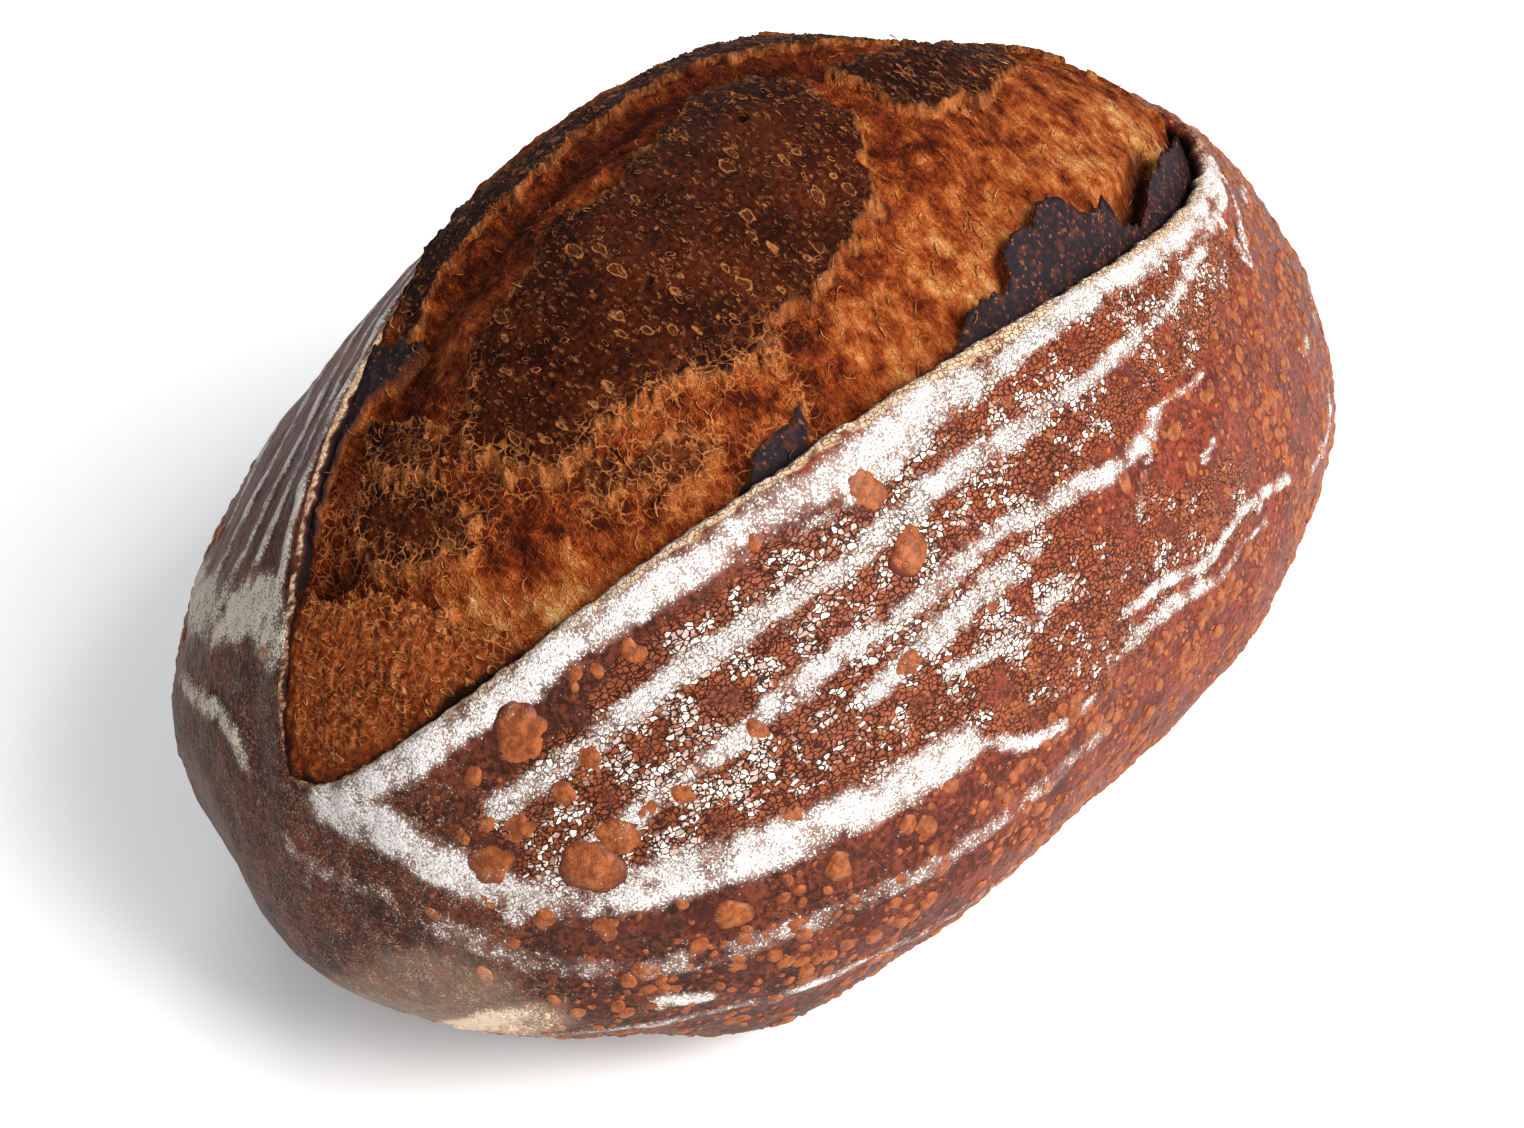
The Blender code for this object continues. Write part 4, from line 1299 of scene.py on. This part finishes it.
def scatter_tree(name, room, build_shape, along=None, shade_smooth=True):
    """A tree that scatters a shape over a surface, where the painted number named room is high."""
    tree = bpy.data.node_groups.new(name, "GeometryNodeTree")
    kinds = {"Geometry": "Geometry", "Seed": "Int", "Finish": "Material"}
    kinds.update(dict.fromkeys(("Spacing", "Density", "Small", "Large", "Turn", "Lift", "Curl"), "Float"))
    for socket, kind in kinds.items():
        tree.interface.new_socket(socket, in_out="INPUT", socket_type="NodeSocket" + kind)
    tree.interface.new_socket("Geometry", in_out="OUTPUT", socket_type="NodeSocketGeometry")
    takes = tree.nodes.new("NodeGroupInput").outputs
    gives = tree.nodes.new("NodeGroupOutput").inputs
    allowed = add_node(tree, "GeometryNodeInputNamedAttribute", {"Name": room}, data_type="FLOAT").outputs[0]
    points = add_node(
        tree,
        "GeometryNodeDistributePointsOnFaces",
        {"Mesh": takes["Geometry"], "Distance Min": takes["Spacing"], "Density Max": takes["Density"],
         "Density Factor": allowed, "Seed": takes["Seed"]},
        distribute_method="POISSON",
    ).outputs  # fmt: skip
    turned = points["Rotation"]
    if along:
        inputs = {"Rotation": turned, "Vector": along}
        turned = add_node(
            tree, "FunctionNodeAlignRotationToVector", inputs, axis="X", pivot_axis="Z"
        ).outputs[0]
    spin = add_node(tree, "ShaderNodeCombineXYZ", {"X": 0.0})
    for axis, most, seed_step in (("Y", takes["Lift"], 1.0), ("Z", takes["Turn"], 2.0)):
        seed = maths(tree, "ADD", takes["Seed"], seed_step)
        angle = random_number(tree, maths(tree, "MULTIPLY", most, -1.0), most, seed)
        tree.links.new(angle, spin.inputs[axis])
    by = add_node(tree, "FunctionNodeEulerToRotation", {0: spin.outputs[0]}).outputs[0]
    inputs = {"Rotation": turned, "Rotate By": by}
    turned = add_node(tree, "FunctionNodeRotateRotation", inputs, rotation_space="LOCAL").outputs[0]
    luck = maths(tree, "POWER", random_number(tree, 0.0, 1.0, takes["Seed"]), FAVOUR_SMALL)
    inputs = {"Value": luck, "To Min": takes["Small"], "To Max": takes["Large"]}
    size = add_node(tree, "ShaderNodeMapRange", inputs).outputs[0]
    inputs = {"Points": points["Points"], "Instance": build_shape(tree), "Rotation": turned, "Scale": size}
    placed = add_node(tree, "GeometryNodeInstanceOnPoints", inputs).outputs[0]
    real = add_node(tree, "GeometryNodeRealizeInstances", {0: placed}).outputs[0]
    wave = add_node(tree, "ShaderNodeTexNoise", {"Scale": SWAY_RIPPLE, "Detail": 1.0}).outputs[1]
    centred = vector_maths(tree, "SUBTRACT", {0: wave, 1: (0.5, 0.5, 0.5)})
    sway = vector_maths(tree, "SCALE", {0: centred, "Scale": takes["Curl"]})
    shape = add_node(tree, "GeometryNodeSetPosition", {"Geometry": real, "Offset": sway}).outputs[0]
    inputs = {"Geometry": shape, "Shade Smooth": shade_smooth}
    shape = add_node(tree, "GeometryNodeSetShadeSmooth", inputs).outputs[0]
    inputs = {"Geometry": shape, "Material": takes["Finish"]}
    shape = add_node(tree, "GeometryNodeSetMaterial", inputs).outputs[0]
    tree.links.new(shape, gives["Geometry"])
    return tree


def scatter(name, tree, surface, material, **inputs):
    """Runs a scattering tree over a surface and keeps the result as a plain mesh piece."""
    carrier = new_object(name + "_carrier", surface.data)
    modifier = carrier.modifiers.new("scatter", "NODES")
    modifier.node_group = tree
    sockets = {item.name: item.identifier for item in tree.interface.items_tree if item.in_out == "INPUT"}
    for key, value in {**inputs, "Finish": material}.items():
        modifier[sockets[key]] = value
    depsgraph = bpy.context.evaluated_depsgraph_get()
    mesh = bpy.data.meshes.new_from_object(carrier.evaluated_get(depsgraph))
    mesh.name = name
    bpy.data.objects.remove(carrier)
    return add_piece(mesh, material)


# %% [markdown]
# ## Small blisters
# A small blister is a flattened ball sunk a little into the skin, so that its edge meets the crust
# at a soft angle. Its painted height over the skin lets the material turn only its top orange, and
# give its foot painted shade.


# %% Scattering the small blisters
def blister_shape(tree):
    """A flattened ball with its height painted on it."""
    ball = add_node(tree, "GeometryNodeMeshIcoSphere", {"Radius": 1.0, "Subdivisions": 3}).outputs[0]
    place = add_node(tree, "GeometryNodeInputPosition").outputs[0]
    up = add_node(tree, "ShaderNodeSeparateXYZ", {0: place}).outputs[2]
    inputs = {"Geometry": ball, "Name": "dome", "Value": up}
    painted = add_node(tree, "GeometryNodeStoreNamedAttribute", inputs, data_type="FLOAT").outputs[0]
    inputs = {"Geometry": painted, "Translation": (0, 0, -0.12), "Scale": (1.15, 0.9, 0.38)}
    return add_node(tree, "GeometryNodeTransform", inputs).outputs[0]


scatter(
    "crust_blisters", scatter_tree("blister_scatter", "blister_room", blister_shape),
    loaf_crust, blister_material,
    Spacing=1.45 * MM, Density=340000.0, Small=0.40 * MM, Large=1.75 * MM,
    Turn=math.pi, Lift=0.05, Curl=0.35 * MM, Seed=7,
)  # fmt: skip

# %% [markdown]
# ## Bubble rims and webs
# Where tiny bubbles burst on the roasted plateaus, each left a raised, paler rim. A rim is a small
# ring of four-sided tube, flattened and bent by noise so that no two are alike. A web is a thinner
# open ring, of which there are most along the torn borders.


# %% Scattering the bubble rims and the webs
def tube(tree, line, sides, radius, capped):
    """A tube along a line."""
    inputs = {"Resolution": sides, "Radius": radius}
    profile = add_node(tree, "GeometryNodeCurvePrimitiveCircle", inputs).outputs[0]
    inputs = {"Curve": line, "Profile Curve": profile, "Fill Caps": capped}
    return add_node(tree, "GeometryNodeCurveToMesh", inputs).outputs[0]


def rim_shape(tree):
    """A small low ring."""
    circle = add_node(tree, "GeometryNodeCurvePrimitiveCircle", {"Resolution": 9, "Radius": 1.0}).outputs[0]
    inputs = {"Geometry": tube(tree, circle, 4, 0.16, False), "Scale": (1.0, 0.45, 1.1)}
    return add_node(tree, "GeometryNodeTransform", inputs).outputs[0]


def web_shape(tree):
    """A thin open ring, three quarters of the way round."""
    inputs = {"Resolution": 10, "Radius": 1.0, "Sweep Angle": 4.9}
    arc = add_node(tree, "GeometryNodeCurveArc", inputs).outputs[0]
    inputs = {"Geometry": tube(tree, arc, 3, 0.07, True), "Scale": (1.0, 0.6, 1.0)}
    return add_node(tree, "GeometryNodeTransform", inputs).outputs[0]


scatter(
    "bubble_rims", scatter_tree("rim_scatter", "bubble_room", rim_shape, along=(0.42, -1.0, 0.0)),
    loaf_bloom, rim_material,
    Spacing=1.25 * MM, Density=400000.0, Small=0.30 * MM, Large=0.80 * MM,
    Turn=0.8, Lift=0.2, Curl=0.8 * MM, Seed=11,
)  # fmt: skip
scatter(
    "torn_webs", scatter_tree("web_scatter", "web_room", web_shape, shade_smooth=False),
    loaf_bloom, rim_material,
    Spacing=0.8 * MM, Density=170000.0, Small=0.35 * MM, Large=1.0 * MM,
    Turn=math.pi, Lift=0.10, Curl=1.2 * MM, Seed=17,
)  # fmt: skip

# %% [markdown]
# ## Torn fibres
# The pulled crumb is a fur of fine toasted fibres, thickest where it is palest. Each is a bent
# three-sided tube that lies roughly across the loaf, as the dough was stretched.


# %% Scattering the torn fibres
def fibre_shape(tree):
    """One bent fibre, a unit long."""
    inputs = {"Resolution": 5, "Start": (-0.5, 0, -0.08), "Middle": (0.1, 0.25, 0.24)}
    inputs["End"] = (0.5, -0.1, 0.02)
    line = add_node(tree, "GeometryNodeCurveQuadraticBezier", inputs).outputs[0]
    return tube(tree, line, 3, 0.036, True)


scatter(
    "torn_fibres",
    scatter_tree("fibre_scatter", "fibre_room", fibre_shape, along=(0.0, 1.0, 0.0), shade_smooth=False),
    loaf_bloom, fibre_material,
    Spacing=1.0 * MM, Density=420000.0, Small=1.0 * MM, Large=3.4 * MM,
    Turn=0.9, Lift=0.25, Curl=0.9 * MM, Seed=23,
)  # fmt: skip

# %% [markdown]
# ## The stage
# A plain pale floor, one large soft light in front and above, a low one to brighten the near flank,
# weaker ones from the left and from behind, and a camera that looks down on the loaf from its near
# left. The camera is rolled a little, so it is given its axes directly.

# %% Floor and lights
FLOOR_HALF = 4.0
floor_corners = [(x * FLOOR_HALF, y * FLOOR_HALF, 0) for x, y in ((-1, -1), (1, -1), (1, 1), (-1, 1))]
floor_mesh = bpy.data.meshes.new("floor")
floor_mesh.from_pydata(floor_corners, [], [(0, 1, 2, 3)])
floor_material, tree = new_material("pale_floor")
tree.nodes["Principled BSDF"].inputs["Base Color"].default_value = (0.90, 0.90, 0.90, 1)
tree.nodes["Principled BSDF"].inputs["Roughness"].default_value = 0.9
floor_mesh.materials.append(floor_material)
floor = new_object("floor", floor_mesh)

# Name, place, size, power, colour.
LIGHTS = (
    ("key", (0.22, -0.72, 0.66), 0.42, 12.0, (1.0, 0.985, 0.96)),
    ("low", (0.10, -0.95, 0.24), 0.5, 4.0, (1.0, 0.985, 0.97)),
    ("fill", (-0.85, -0.30, 0.70), 0.9, 2.5, (0.95, 0.97, 1.0)),
    ("back", (0.4, 0.7, 0.9), 0.6, 3.8, (1.0, 1.0, 1.0)),
)
AIM = Vector((0.0, 0.0, 0.06))
for name, place, size, power, colour in LIGHTS:
    light = bpy.data.lights.new(name, "AREA")
    light.size = size
    light.energy = power
    light.color = colour
    lamp = new_object(name, light)
    lamp.location = place
    lamp.rotation_euler = (AIM - Vector(place)).to_track_quat("-Z", "Y").to_euler()
world = bpy.data.worlds.new("studio")
world.use_nodes = True
world.node_tree.nodes["Background"].inputs["Color"].default_value = (0.95, 0.97, 1.0, 1)
world.node_tree.nodes["Background"].inputs["Strength"].default_value = 0.35
bpy.context.scene.world = world
bpy.context.scene.view_settings.view_transform = "Standard"
bpy.context.scene.view_settings.look = "Medium High Contrast"
print(f"stage: a floor and {len(LIGHTS)} soft lights")

# %% Camera
TURN, PITCH, ROLL = math.radians(-33.5), math.radians(42.2), math.radians(-10.0)
DISTANCE = 1.491 * LENGTH
TARGET = Vector((-0.0161, -0.0106, 0.045))
backwards = Vector((math.sin(TURN) * math.cos(PITCH), -math.cos(TURN) * math.cos(PITCH), math.sin(PITCH)))
level_right = Vector((math.cos(TURN), math.sin(TURN), 0.0))
level_up = backwards.cross(level_right)
right = level_right * math.cos(ROLL) + level_up * math.sin(ROLL)
up = level_up * math.cos(ROLL) - level_right * math.sin(ROLL)
camera_data = bpy.data.cameras.new("camera")
camera_data.lens = 47.4
camera_data.sensor_width = 36.0
camera_data.clip_start = 0.01
camera = new_object("camera", camera_data)
axes = Matrix((right, up, backwards)).transposed().to_4x4()
camera.matrix_world = Matrix.Translation(TARGET + backwards * DISTANCE) @ axes
bpy.context.scene.camera = camera
print(f"camera: {DISTANCE / MM:.0f} mm from the loaf, {math.degrees(PITCH):.0f} degrees over it")
